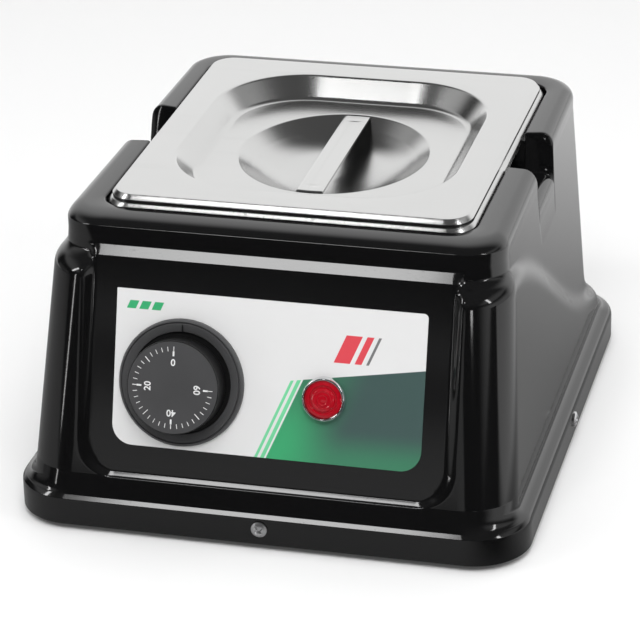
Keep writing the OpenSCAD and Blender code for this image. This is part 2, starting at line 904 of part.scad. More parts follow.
module lamp_nut() {
    color(zinc)
        on_panel(lamp_x, -lamp_v)
            translate([0, 0, -panel_t - 3])
                difference() {
                    cylinder(d = 18, h = 3, $fn = 6);
                    translate([0, 0, -1])
                        cylinder(d = lamp_barrel + 2 * running_gap, h = 5);
                }
}

lens_d = lamp_d - 3;

module lamp_bezel() {
    color(steel)
        on_panel(lamp_x, -lamp_v)
            rotate_extrude()
                polygon([
                    [lamp_barrel / 2 - 1, label_t], [lamp_d / 2, label_t], [lamp_d / 2, 1.4],
                    [lamp_d / 2 - 0.8, 2.8], [lens_d / 2 + 0.1, 3.2], [lens_d / 2 + 0.1, 1.2],
                    [lamp_barrel / 2 - 1, 1.2]
                ]);
}

module lamp_lens() {
    color([0.75, 0.03, 0.06])
        on_panel(lamp_x, -lamp_v)
            translate([0, 0, 1.2]) {
                cylinder(d = lens_d, h = 1.6);
                for (k = [0:2])
                    cylinder(d = lens_d - 4 - 4 * k, h = 2.4 + 0.5 * k);
            }
}

terminal_w = 16;
terminal_l = 38;
terminal_x = -well_w / 2 - wrap_t - 4 - terminal_w / 2;
terminal_back = 45.5;
terminal_y = pan_y + terminal_back;
terminal_h = 12;
stud_d = 5;
stud_h = 12;
earth_x = 45 - skirt_w / 2;
earth_y = 23.5 - skirt_d / 2;
wire_d = 2.4;
tube_d = 2;
cutout_d = 16;
cutout_h = 8;
tab_l = 8;
tab_out = 14;

module at_terminal_screws() {
    for (sy = [-1, 1])
        translate([terminal_x, terminal_y + sy * 13, 0])
            children();
}

module terminal_block() {
    color([0.9, 0.9, 0.88])
        difference() {
            translate([terminal_x - terminal_w / 2, terminal_y - terminal_l / 2, plate_top])
                cube([terminal_w, terminal_l, terminal_h]);
            at_terminal_screws()
                cylinder(d = screw_d + 2 * screw_gap, h = through);
            for (k = [-0.5:0.5:0.5])
                translate([terminal_x, terminal_y + 14 * k, plate_top + terminal_h])
                    cylinder(d = 4, h = 6, center = true);
        }
}

module terminal_screws() {
    color(steel)
        at_terminal_screws()
            translate([0, 0, plate_top + terminal_h])
                screw(screw_d, terminal_h + block_screw_l, head_d, head_h);
}

module earth_stud() {
    color([0.75, 0.6, 0.25])
        translate([earth_x, earth_y, plate_top]) {
            cylinder(d = stud_d, h = stud_h);
            cylinder(d = 2 * stud_d, h = stud_h / 3, $fn = 6);
        }
}

module cable_gland() {
    color(dark)
        on_rear()
            difference() {
                union() {
                    cylinder(d = gland_hex, h = gland_hex_h, $fn = 6);
                    cylinder(d = gland_nose, h = gland_out);
                    translate([0, 0, -rear_t - gland_thread])
                        cylinder(d = gland_d, h = rear_t + gland_thread + 1);
                }
                cylinder(d = gland_bore, h = 60, center = true);
            }
}

module gland_nut() {
    color(dark)
        on_rear()
            translate([0, 0, -rear_t - gland_nut_h])
                difference() {
                    cylinder(d = gland_hex, h = gland_nut_h, $fn = 6);
                    translate([0, 0, -1])
                        cylinder(d = gland_d + 2 * running_gap, h = gland_nut_h + 2);
                }
}

// Wires: terminals to thermostat, thermostat to lamp, terminals to heater and cut-out
module wiring() {
    low = plate_top + 5;
    front_y = terminal_y - terminal_l / 2 - wire_gap;
    side_x = terminal_x + terminal_w / 2 + wire_gap;
    turn_y = pan_y - well_d / 2 + 3.5;
    behind_y = terminal_y + 32;
    under = -body_h / 2 - wire_gap;
    deep = -panel_t - 18;
    lamp_end = -lamp_deep - wire_gap;
    mat_x = 6 - mat_w / 2;
    tab_z = well_under - cutout_h + 3;
    color([0.5, 0.08, 0.06]) {
        for (k = [-1, 1])
            wire([
                [terminal_x + 4 * k, front_y, low], [terminal_x + 4 * k, front_y - 8, low],
                [terminal_x - 2 + 4 * k, pan_y, low - 1], [terminal_x - 2 + 4 * k, turn_y, low + 1],
                thermostat_spot([5 * k - fix_x, under - 10, deep]), thermostat_spot([5 * k - fix_x, under, deep])
            ], wire_d);
        wire([
            thermostat_spot([body_w / 2 + wire_gap, 0, deep]), thermostat_spot([body_w / 2 + 10, 0, deep]),
            panel_spot(lamp_x, -lamp_v, [0, 0, lamp_end - 8]), panel_spot(lamp_x, -lamp_v, [0, 0, lamp_end])
        ], wire_d);
        wire([
            [side_x, terminal_y, low], [side_x + 8, terminal_y, low],
            [mat_x, pan_y + 30, well_under - mat_t - 8], [mat_x, pan_y + 30, well_under - mat_t - wire_gap]
        ], wire_d);
        wire([
            [side_x, terminal_y + 8, low], [side_x + 6, terminal_y + 8, low],
            [terminal_x + 24, behind_y, low + 1], [21 - post_x, behind_y, low + 2],
            [-tab_out - 10, pan_y + post_y, tab_z], [-tab_out - wire_gap, pan_y + post_y, tab_z]
        ], wire_d);
    }
}

housing_shell();
base_plate();
shell_screws();
foot_front_left();
foot_front_right();
foot_rear_left();
foot_rear_right();
foot_screws();
pan();
lid();
lid_handle();
heating_well();
heating_mat();
insulation_wrap();
thermal_cutout();
well_standoffs();
standoff_screws();
well_screws();
control_label();
thermostat_body();
thermostat_screws();
thermostat_bezel();
thermostat_shaft();
thermostat_knob();
sensor_bulb();
bulb_clip();
capillary_tube();
lamp_body();
lamp_nut();
lamp_bezel();
lamp_lens();
terminal_block();
terminal_screws();
earth_stud();
cable_gland();
gland_nut();
wiring();
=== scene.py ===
"""Looks of the chocolate melting tank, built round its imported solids."""

import math
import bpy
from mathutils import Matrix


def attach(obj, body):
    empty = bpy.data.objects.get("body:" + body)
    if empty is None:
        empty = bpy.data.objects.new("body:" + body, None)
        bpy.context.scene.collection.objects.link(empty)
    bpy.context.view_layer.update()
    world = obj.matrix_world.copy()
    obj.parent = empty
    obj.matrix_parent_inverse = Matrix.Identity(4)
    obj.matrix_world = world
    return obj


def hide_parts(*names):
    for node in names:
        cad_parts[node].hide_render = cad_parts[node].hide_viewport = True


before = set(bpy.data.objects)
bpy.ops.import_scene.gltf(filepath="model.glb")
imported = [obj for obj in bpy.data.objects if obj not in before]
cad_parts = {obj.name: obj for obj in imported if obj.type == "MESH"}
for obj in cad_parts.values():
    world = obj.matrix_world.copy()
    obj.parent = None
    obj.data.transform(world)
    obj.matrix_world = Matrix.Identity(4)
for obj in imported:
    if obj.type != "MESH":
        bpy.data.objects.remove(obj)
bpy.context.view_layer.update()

from types import SimpleNamespace

import bpy
import numpy as np
from mathutils import Matrix, Vector

bl_info = {
    "name": "Chocolate melting tank",
    "version": (1, 0, 0),
    "blender": (4, 5, 0),
    "location": "3D View > Sidebar > Tank",
    "description": "Dresses the packed solids of a countertop chocolate melting tank",
    "category": "Object",
}

MM = 0.001


# Sizes and colours that a user would change

def length(name, description, default):
    return bpy.props.FloatProperty(
        name=name, description=description, default=default, min=0, unit="LENGTH", precision=4
    )


def colour(name, description, default):
    return bpy.props.FloatVectorProperty(
        name=name, description=description, default=default, size=3, min=0, max=1, subtype="COLOR"
    )


class ShellSizes(bpy.types.PropertyGroup):
    """Sizes of the moulded shell"""
    skirt_w: length("Skirt width", "Width over the skirt", 0.226)
    skirt_d: length("Skirt depth", "Depth over the skirt", 0.255)
    skirt_r: length("Skirt corner", "Plan radius of the skirt's corners", 0.025)
    rim_z: length("Rim height", "Height of the rim above the ground", 0.1311)
    shoulder_front: length("Shoulder front", "Height of the shoulder at the front", 0.118)
    shoulder_rear: length("Shoulder rear", "Height of the shoulder at the rear", 0.030)
    recess_w: length("Recess width", "Width between the front posts", 0.161)
    notch_half: length("Notch half width", "Half the width of a finger notch", 0.0205)
    notch_dip: length("Notch depth", "Depth of a finger notch below the rim", 0.018)


class PanSizes(bpy.types.PropertyGroup):
    """Sizes of the pan, the lid and the strip"""
    width: length("Width", "Width over the flange", 0.162)
    depth: length("Depth", "Depth over the flange, front to back", 0.176)
    middle: length("Middle", "Distance of the pan's middle behind the skirt's", 0.0145)
    lid_recess: length("Lid recess", "Depth of the lid's recess", 0.0095)
    dish_d: length("Dish diameter", "Diameter of the lid's dish", 0.094)
    strip_w: length("Strip width", "Width of the grip strip", 0.012)


class ControlSizes(bpy.types.PropertyGroup):
    """Sizes of the knob, bezel, lamp and label"""
    bezel_d: length("Bezel diameter", "Diameter of the dial's bezel", 0.055)
    opening_d: length("Bezel opening", "Diameter of the bezel's opening", 0.044)
    knob_d: length("Knob diameter", "Diameter of the knob", 0.0404)
    knob_h: length("Knob height", "Height of the knob's face above the panel", 0.0154)
    lamp_d: length("Lamp diameter", "Diameter of the lamp's bezel", 0.0194)
    figure_h: length("Figure height", "Height of the dial's figures", 0.0030)


class TankColours(bpy.types.PropertyGroup):
    """Colours of the finishes"""
    shell: colour("Shell", "Gloss black plastic", (0.004, 0.004, 0.0042))
    steel: colour("Stainless", "Satin stainless sheet", (0.515, 0.515, 0.511))
    knob: colour("Knob", "Satin black moulding", (0.060, 0.060, 0.062))
    paper: colour("Label ground", "White ground of the label", (0.76, 0.76, 0.76))
    leaf: colour("Label green", "Bright green of the label", (0.045, 0.42, 0.17))
    teal: colour("Label teal", "Dark teal of the label", (0.055, 0.098, 0.092))
    coral: colour("Label coral", "Warm red of the label", (0.72, 0.07, 0.09))
    grey: colour("Label grey", "Grey of the label's fine bar", (0.18, 0.18, 0.18))
    lens: colour("Lens", "Red of the pilot lamp", (0.40, 0.003, 0.012))


# Skirt and lower body, in millimetres; FRONT_EDGE pairs heights with how far the front stands back
FOOT_GAP = 3.0
SKIRT_TOP = 17.5
EDGE_R = 4.0
EDGE_IN = 3.2
COVE_TOP = 22.0
COVE_POWER = 2.2
BODY_INSET = 6.0
FRONT_EDGE = ((15.3, 17.0, 25.5), (0.0, 1.65, 6.0))
FRONT_SLOPE = 0.262
SIDE_TAPER = 0.07
WALL = 3.0

# Ledge of the sloping shoulder; LEDGE_JOIN is the share of its drop where the tail takes over
LEDGE_LOW = 3.5
LEDGE_DROP = 6.5
LEDGE_JOIN = 0.134
LEDGE_STEEP = 3.464
LEDGE_SWEEP = (3.0, 14.0)
SWEEP_SHARE = 0.3
SHOULDER_SPAN = (-85.5, 119.5)

# Front recess and its bevel
RECESS_Z = 26.0
RECESS_R = 14.0
RECESS_SOFT = (6.0, 2.2)
RECESS_DEEP = 1.5
BEVEL_HALF = 2.0
PANEL_SLOPE = 0.3015
TILT = math.atan(PANEL_SLOPE)

# Rim: its widths are those of the front, the side's two ends and the rear
RIM_WIDTHS = (14.7, 14.6, 11.4, 15.5)
RIM_ROUND = 10.0
RIM_CROWN = (0.80, 0.45)
RIM_POWER = (3.1, 1.0)
RIM_TILT = 80.0
COLLAR_R = 19.0
BROW_SLOPE = 0.06
REAR_TAPER = 0.02

# Pocket for the pan's flange, and the finger notches
POCKET_GAP = 1.0
POCKET_FRONT = 0.6
POCKET_R = 11.0
POCKET_EDGE = 0.8
SEAT_DROP = 3.9
SEAT_IN = 8.0
NOTCH_BACK = 7.0
NOTCH_SOFT = 4.0
GROOVE = 0.2
GROOVE_SPAN = (17.0, 3.0)
DIP_SPAN = 41.0

# Heights of the shell's rows: single ones, then stretches with their counts
SKIRT_LEVELS = (FOOT_GAP, 6.5, 10.0, 12.5, 13.3)
BODY_LEVELS = ((13.3, 24.4, 28), (24.4, 31.0, 31), (31.0, 105.0, 72), (105.0, 119.6, 48))
INNER_LOW = 34.0
INNER_FOOT = (29.0, 23.0)
INNER_DROP = 2.5
INNER_SKIRT = 24.0
CRISP = 0.2

# Pan and lid sheet
SHEET = 0.8
PAN_DEPTH = 100.0
PAN_FLANGE = 12.0
PAN_CORNER = 12.0
PAN_WALL_R = 22.0
PAN_FLOOR_IN = 22.0
MIDDLE_RING = (8.0, 8.0, 4.0)
FLANGE_H = 4.0
FLANGE_UP = 0.6
FLANGE_EDGE = 2.2
LID_H = 4.1
LID_CORNER = 13.0
LID_IN = 1.5
LID_FLAT = (17.5, 18.5)
LID_WELL_R = 40.0
DISH_NARROW = 0.915
BOWL = ((34.5, -8.4), (27.0, -11.0), (17.0, -12.2), (7.0, -12.6), (0.4, -12.6))

# Grip strip and the spot welds at its ends
STRIP_T = 1.2
STRIP_UP = 0.3
STRIP_SOFT = 0.35
STRIP_REACH = 0.4835
STRIP_STEPS = (0.25, 0.5, 0.75, 0.95, 0.985, 1.0)
WELD = (1.9, 1.3)
WELD_AT = 0.86
WELD_DEPTH = 0.22

# Places on the front panel
LABEL_Z = 71.1
LABEL_T = 0.4
KNOB_AT = (-37.5, -4.6)
LAMP_AT = (25.0, -6.0)
SCREW_Z = 10.4

# Dial: degrees in one step of its scale, and radii of the marks
DIAL_STEP = 4.5
DIAL_TOP = 60
TICK_RADII = (13.4, 15.4, 17.5)
FIGURE_R = 10.7
INK_LIFT = 0.06
FACE_DOME = 0.9

# Label: lean of its slanted edges, foot of the field, and slanted bars with their left, right,
# lower and upper edges and colour
LABEL_LEAN = 0.42
ROOF_LEAN = 0.16
FIELD_FOOT = 33.0
PRINT_SOFT = 0.1
LABEL_BARS = (
    *((left, left + 4.0, 25.5, 29.0, "leaf") for left in (-74.0, -68.5, -63.0)),
    *((left, left + wide, 10.0, 22.0, shade)
      for left, wide, shade in ((24.0, 7.0, "coral"), (33.0, 3.0, "coral"), (38.0, 1.2, "grey"))),
)

# Lamps: name, place, aim, size, power and whether the gloss shows them, in metres and watts
TANK_MIDDLE = (0.0, -0.02, 0.08)
LAMPS = (
    ("left_stand", (-0.75, -0.62, 0.18), (-0.08, -0.1, 0.18), (0.03, 0.34), 0.25, True),
    ("right_stand", (0.45, -0.85, 0.178), (-0.08, -0.1, 0.178), (0.07, 0.022), 0.04, True),
    ("left_strip", (-1.15, -0.55, 1.0), TANK_MIDDLE, (0.12, 0.6), 2.7, True),
    ("right_strip", (1.15, -0.45, 1.05), TANK_MIDDLE, (0.12, 0.6), 2.7, True),
    ("fill", (0.3, -1.3, 1.9), TANK_MIDDLE, (1.6, 1.2), 33, False),
    ("overhead_fill", (0.1, 0.3, 2.2), TANK_MIDDLE, (1.8, 1.8), 24, False),
)
FLOOR_REACH = 6.0

# Camera: azimuth, elevation and roll in degrees, place in millimetres, focal length in pixels
CAMERA_TURN = (14.85, 25.42, -1.44)
CAMERA_AT = (315.2, -1206.7, 642.2)
FOCAL_PIXELS = 3029.0
FRAME_PIXELS = 640.0
SENSOR = 36.0

TINY = 1e-6


def in_mm(group):
    """The lengths of a property group as plain millimetres."""
    keys = [key for key in group.bl_rna.properties.keys() if isinstance(getattr(group, key), float)]
    return SimpleNamespace(**{key: getattr(group, key) / MM for key in keys})


def smooth(t):
    t = np.clip(t, 0, 1)
    return t * t * (3 - 2 * t)


def mix(a, b, t):
    return a + (b - a) * t


def fillet(corners, steps=6):
    """Rounds the corners (x, y, radius) of an open line."""
    points = [Vector(c[:2]) for c in corners]
    line = [points[0]]
    for before, here, after, corner in zip(points, points[1:], points[2:], corners[1:]):
        u, w = (before - here).normalized(), (after - here).normalized()
        half = math.acos(max(-1, min(1, u.dot(w)))) / 2
        if corner[2] <= 0 or abs(half - math.pi / 2) < 1e-4:
            line.append(here)
            continue
        reach = corner[2] / math.tan(half)
        middle = here + (u + w).normalized() * corner[2] / math.sin(half)
        start, end = here + u * reach - middle, here + w * reach - middle
        turn = start.angle_signed(end)
        for k in range(steps + 1):
            line.append(middle + Matrix.Rotation(-turn * k / steps, 2) @ start)
    return [(p.x, p.y) for p in line + [points[-1]]]


def spline(points, steps=6):
    """Smooth curve through points."""
    p = np.array([points[0], *points, points[-1]], float)
    curve = []
    for a, b, c, d in zip(p, p[1:], p[2:], p[3:]):
        for t in np.arange(steps) / steps:
            curve.append(0.5 * (2 * b + (c - a) * t + (2 * a - 5 * b + 4 * c - d) * t ** 2
                                + (3 * b - a - 3 * c + d) * t ** 3))
    return [tuple(q) for q in curve] + [tuple(p[-1])]


# Node trees of the finishes

class Wire:
    """A socket of a finish. Arithmetic on it adds Math nodes."""

    def __init__(self, finish, socket):
        self.finish = finish
        self.socket = socket

    def math(self, operation, *values):
        return self.finish.node("ShaderNodeMath", {"operation": operation}, dict(enumerate(values)))

    def __add__(self, other):
        return self.math("ADD", self, other)

    def __radd__(self, other):
        return self.math("ADD", other, self)

    def __sub__(self, other):
        return self.math("SUBTRACT", self, other)

    def __rsub__(self, other):
        return self.math("SUBTRACT", other, self)

    def __mul__(self, other):
        return self.math("MULTIPLY", self, other)

    def __rmul__(self, other):
        return self.math("MULTIPLY", other, self)

    def step(self, low, high):
        """Nought below low, one above high, smooth between."""
        settings = {"interpolation_type": "SMOOTHSTEP"}
        return self.finish.node("ShaderNodeMapRange", settings, {0: self, 1: low, 2: high})

    def band(self, low, high, soft):
        """One between low and high, nought outside, with soft edges."""
        return self.step(low - soft, low + soft) * (1 - self.step(high - soft, high + soft))


class Graph:
    """One node tree and the nodes in it."""

    def __init__(self, owner, output, place):
        owner.use_nodes = True
        self.tree = owner.node_tree
        self.tree.nodes.clear()
        self.output = self.tree.nodes.new(output)
        self.place = self.node("ShaderNodeTexCoord", output=place)

    def node(self, kind, settings=None, inputs=None, output=0):
        made = self.tree.nodes.new(kind)
        for key, value in (settings or {}).items():
            setattr(made, key, value)
        for key, value in (inputs or {}).items():
            if isinstance(value, Wire):
                self.tree.links.new(value.socket, made.inputs[key])
            else:
                made.inputs[key].default_value = value
        return Wire(self, made.outputs[output])

    def axes(self):
        split = self.node("ShaderNodeSeparateXYZ", inputs={0: self.place})
        return split, *(Wire(self, split.socket.node.outputs[k]) for k in (1, 2))

    def noise(self, scale, detail=3.0, stretch=None):
        vector = self.place
        if stretch:
            settings = {"operation": "MULTIPLY"}
            vector = self.node("ShaderNodeVectorMath", settings, {0: self.place, 1: stretch})
        return self.node("ShaderNodeTexNoise", inputs={"Vector": vector, "Scale": scale, "Detail": detail})

    def blend(self, factor, a, b):
        shade = [value if isinstance(value, Wire) else (*value[:3], 1.0) for value in (a, b)]
        return self.node("ShaderNodeMix", {"data_type": "RGBA"}, {0: factor, 6: shade[0], 7: shade[1]}, 2)

    def show(self, shader):
        self.tree.links.new(shader.socket, self.output.inputs["Surface"])

    def bump(self, height, strength, distance):
        inputs = {"Height": height, "Strength": strength, "Distance": distance}
        return self.node("ShaderNodeBump", inputs=inputs)

    def surface(self, **inputs):
        sockets = {key.replace("_", " "): value for key, value in inputs.items()}
        for key, value in sockets.items():
            if isinstance(value, tuple) and len(value) == 3:
                sockets[key] = (*value, 1.0)
        self.show(self.node("ShaderNodeBsdfPrincipled", inputs=sockets))
        return self.material


class Finish(Graph):
    """One material."""

    def __init__(self, name):
        self.material = bpy.data.materials.new(name)
        super().__init__(self.material, "ShaderNodeOutputMaterial", "Object")


def scaled(shade, amount):
    return tuple(min(1.0, c * amount) for c in shade)


def gloss_plastic(name, shade, rough=0.06, ripple=0.02):
    """Gloss thermoformed sheet: faint waviness, and fine dust that dulls it a little."""
    f = Finish(name)
    dust = f.noise(900, 2).step(0.62, 0.78)
    cloud = f.noise(14, 2)
    wave = f.noise(55, 1)
    return f.surface(
        Base_Color=f.blend(dust * 0.35, shade, scaled(shade, 3.0)),
        Roughness=rough + cloud * 0.03 + dust * 0.05,
        Normal=f.bump(wave, ripple, 0.0006),
        IOR=1.55,
    )


def satin_plastic(name, shade, rough=0.42, grain=1400, depth=0.1):
    """Spark-eroded moulding: fine grain and slightly polished patches."""
    f = Finish(name)
    fine = f.noise(grain, 2)
    cloud = f.noise(60, 3)
    return f.surface(
        Base_Color=f.blend(cloud, scaled(shade, 0.85), scaled(shade, 1.2)),
        Roughness=rough - 0.06 + cloud * 0.12,
        Normal=f.bump(fine, depth, 0.0002),
    )


def satin_steel(name, shade, rough=0.2, along=(6.0, 900.0, 900.0), depth=0.03):
    """Cold-rolled sheet: fine lines one way and soft clouds in the polish."""
    f = Finish(name)
    lines = f.noise(1.0, 2, along)
    cloud = f.noise(22, 3)
    scratch = f.noise(1.0, 1, tuple(0.35 * value for value in along)).step(0.66, 0.72)
    return f.surface(
        Base_Color=f.blend(cloud, scaled(shade, 0.96), scaled(shade, 1.04)),
        Metallic=1.0,
        Roughness=rough - 0.04 + lines * 0.05 + cloud * 0.05 + scratch * 0.04,
        Normal=f.bump(lines, depth, 0.0001),
    )


def plated_steel(name, shade, rough=0.32):
    """Zinc plating: mottled grain, dull in patches."""
    f = Finish(name)
    spangle = f.node("ShaderNodeTexVoronoi", inputs={"Vector": f.place, "Scale": 160.0}, output="Color")
    grey = f.node("ShaderNodeRGBToBW", inputs={0: spangle})
    cloud = f.noise(40, 4)
    return f.surface(
        Base_Color=f.blend(grey, scaled(shade, 0.88), scaled(shade, 1.08)),
        Metallic=1.0,
        Roughness=rough - 0.08 + grey * 0.1 + cloud * 0.1,
        Normal=f.bump(cloud, 0.05, 0.0003),
    )


def chrome_plate(name):
    """Bright plating with faint polishing marks."""
    f = Finish(name)
    mark = f.noise(500, 2)
    return f.surface(
        Base_Color=f.blend(mark, (0.74, 0.74, 0.75), (0.86, 0.86, 0.87)),
        Metallic=1.0,
        Roughness=0.05 + mark * 0.06,
    )


def dull_fill(name, shade, other, scale, rough, depth):
    """Matt stuff with two shades and a rough skin: rubber, wool, sleeving."""
    f = Finish(name)
    fine = f.noise(scale, 5)
    return f.surface(
        Base_Color=f.blend(fine.step(0.35, 0.65), shade, other),
        Roughness=rough - 0.08 + fine * 0.16,
        Normal=f.bump(fine, depth, 0.0008),
    )


def red_lens(name, shade):
    """Moulded red lens that glows a little from inside."""
    f = Finish(name)
    cloud = f.noise(300, 2)
    return f.surface(
        Base_Color=f.blend(cloud, scaled(shade, 0.8), scaled(shade, 1.1)),
        Roughness=0.1 + cloud * 0.06,
        Coat_Weight=0.6,
        Emission_Color=shade,
        Emission_Strength=0.04,
    )


def printed_label(name, colours):
    """White film with a green field, straight slanted edges and a few slanted bars."""
    f = Finish(name)
    x, _, z = f.axes()
    across = x * (1 / MM)
    up = (z * (1 / MM) - LABEL_Z) * (1 / math.cos(TILT))
    foot = up + FIELD_FOOT
    edge = across - foot * LABEL_LEAN - 1.0
    under_roof = (up * -1.0 + across * ROOF_LEAN - 1.0).step(-0.12, 0.12)
    field = edge.step(-0.12, 0.12) * under_roof
    glow = (1 - edge.step(2.0, 30.0)) * (1 - foot.step(6.0, 40.0) * 0.55)
    tint = f.blend(glow * 0.8, colours.teal, colours.leaf)
    tint = f.blend((1 - foot.step(0.0, 16.0)) * 0.35, tint, colours.leaf)
    stripes = (edge.band(-5.1, -3.8, PRINT_SOFT) + edge.band(-2.5, -0.8, PRINT_SOFT)) * under_roof
    ground = f.blend(stripes * 0.85, colours.paper, scaled(colours.leaf, 1.5))
    slant = across - up * LABEL_LEAN
    for left, right, low, high, shade in LABEL_BARS:
        bar = slant.band(left, right, PRINT_SOFT) * up.band(low, high, PRINT_SOFT)
        ground = f.blend(bar, ground, getattr(colours, shade))
    fine = f.noise(1600, 2)
    return f.surface(
        Base_Color=f.blend(field, ground, tint),
        Roughness=0.28 + fine * 0.1,
        Normal=f.bump(fine, 0.02, 0.0001),
    )


def printed_ink(name):
    """White screen ink, slightly thin in places."""
    f = Finish(name)
    thin = f.noise(900, 3)
    return f.surface(
        Base_Color=f.blend(thin, (0.66, 0.66, 0.66), (0.85, 0.85, 0.85)),
        Roughness=0.45 + thin * 0.1,
    )


# Mesh pieces

def quads(rows, columns, close_rows=False, close_columns=True):
    """Faces of a grid of rows and columns of points."""
    faces = []
    for r in range(rows if close_rows else rows - 1):
        for c in range(columns if close_columns else columns - 1):
            r1, c1 = (r + 1) % rows, (c + 1) % columns
            faces.append((r * columns + c, r * columns + c1, r1 * columns + c1, r1 * columns + c))
    return faces


def piece(name, points, faces, finish, body, replaced=(), place=None, sharp=40.0):
    """Makes one piece from points in millimetres and hangs it on its body."""
    mesh = bpy.data.meshes.new(name)
    mesh.from_pydata((np.asarray(points, float) * MM).tolist(), [], faces)
    mesh.validate()
    if place is not None:
        mesh.transform(place)
    mesh.polygons.foreach_set("use_smooth", [True] * len(mesh.polygons))
    mesh.set_sharp_from_angle(angle=math.radians(sharp))
    mesh.update()
    made = bpy.data.objects.new(name, mesh)
    bpy.context.scene.collection.objects.link(made)
    mesh.materials.append(finish)
    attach(made, body)
    if replaced:
        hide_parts(*replaced)
    return made


def turned(profile, steps=128):
    """Points and faces of a profile (radius, height) turned round the z axis, closed at the axis."""
    angles = np.arange(steps) * 2 * np.pi / steps
    ring = np.stack([np.cos(angles), np.sin(angles)], 1)
    points, faces, starts = [], [], []
    for radius, height in profile:
        starts.append(len(points))
        if radius < TINY:
            points.append((0, 0, height))
        else:
            points += [(x * radius, y * radius, height) for x, y in ring]
    for k in range(len(profile) - 1):
        a, b = starts[k], starts[k + 1]
        tip_a, tip_b = profile[k][0] < TINY, profile[k + 1][0] < TINY
        for c in range(steps):
            d = (c + 1) % steps
            if tip_a and not tip_b:
                faces.append((a, b + d, b + c))
            elif tip_b and not tip_a:
                faces.append((a + c, a + d, b))
            elif not tip_a:
                faces.append((a + c, a + d, b + d, b + c))
    return points, faces


def panel_y(z):
    """Depth of the sloping panel at a height."""
    shell = in_mm(bpy.context.scene.tank_shell)
    post = FRONT_EDGE[1][2] - shell.skirt_d / 2 + FRONT_SLOPE * (RECESS_Z - FRONT_EDGE[0][2])
    return post + RECESS_DEEP + PANEL_SLOPE * (z - RECESS_Z)


def on_panel(at):
    """Matrix that puts a piece on the front panel, z out of the face, in metres."""
    across, up = at
    place = Matrix.Translation(Vector((
        across, panel_y(LABEL_Z) + up * math.sin(TILT), LABEL_Z + up * math.cos(TILT))) * MM)
    return place @ Matrix.Rotation(math.pi / 2 - TILT, 4, "X")


def boxes(items):
    """Points and faces of small blocks, each a list of four base corners and its two heights."""
    points, faces = [], []
    for corners, low, high in items:
        n = len(points)
        points += [(*c, low) for c in corners] + [(*c, high) for c in corners]
        faces += [(n + 3, n + 2, n + 1, n), (n + 4, n + 5, n + 6, n + 7)]
        faces += [(n + k, n + (k + 1) % 4, n + 4 + (k + 1) % 4, n + 4 + k) for k in range(4)]
    return points, faces


# Shell surface

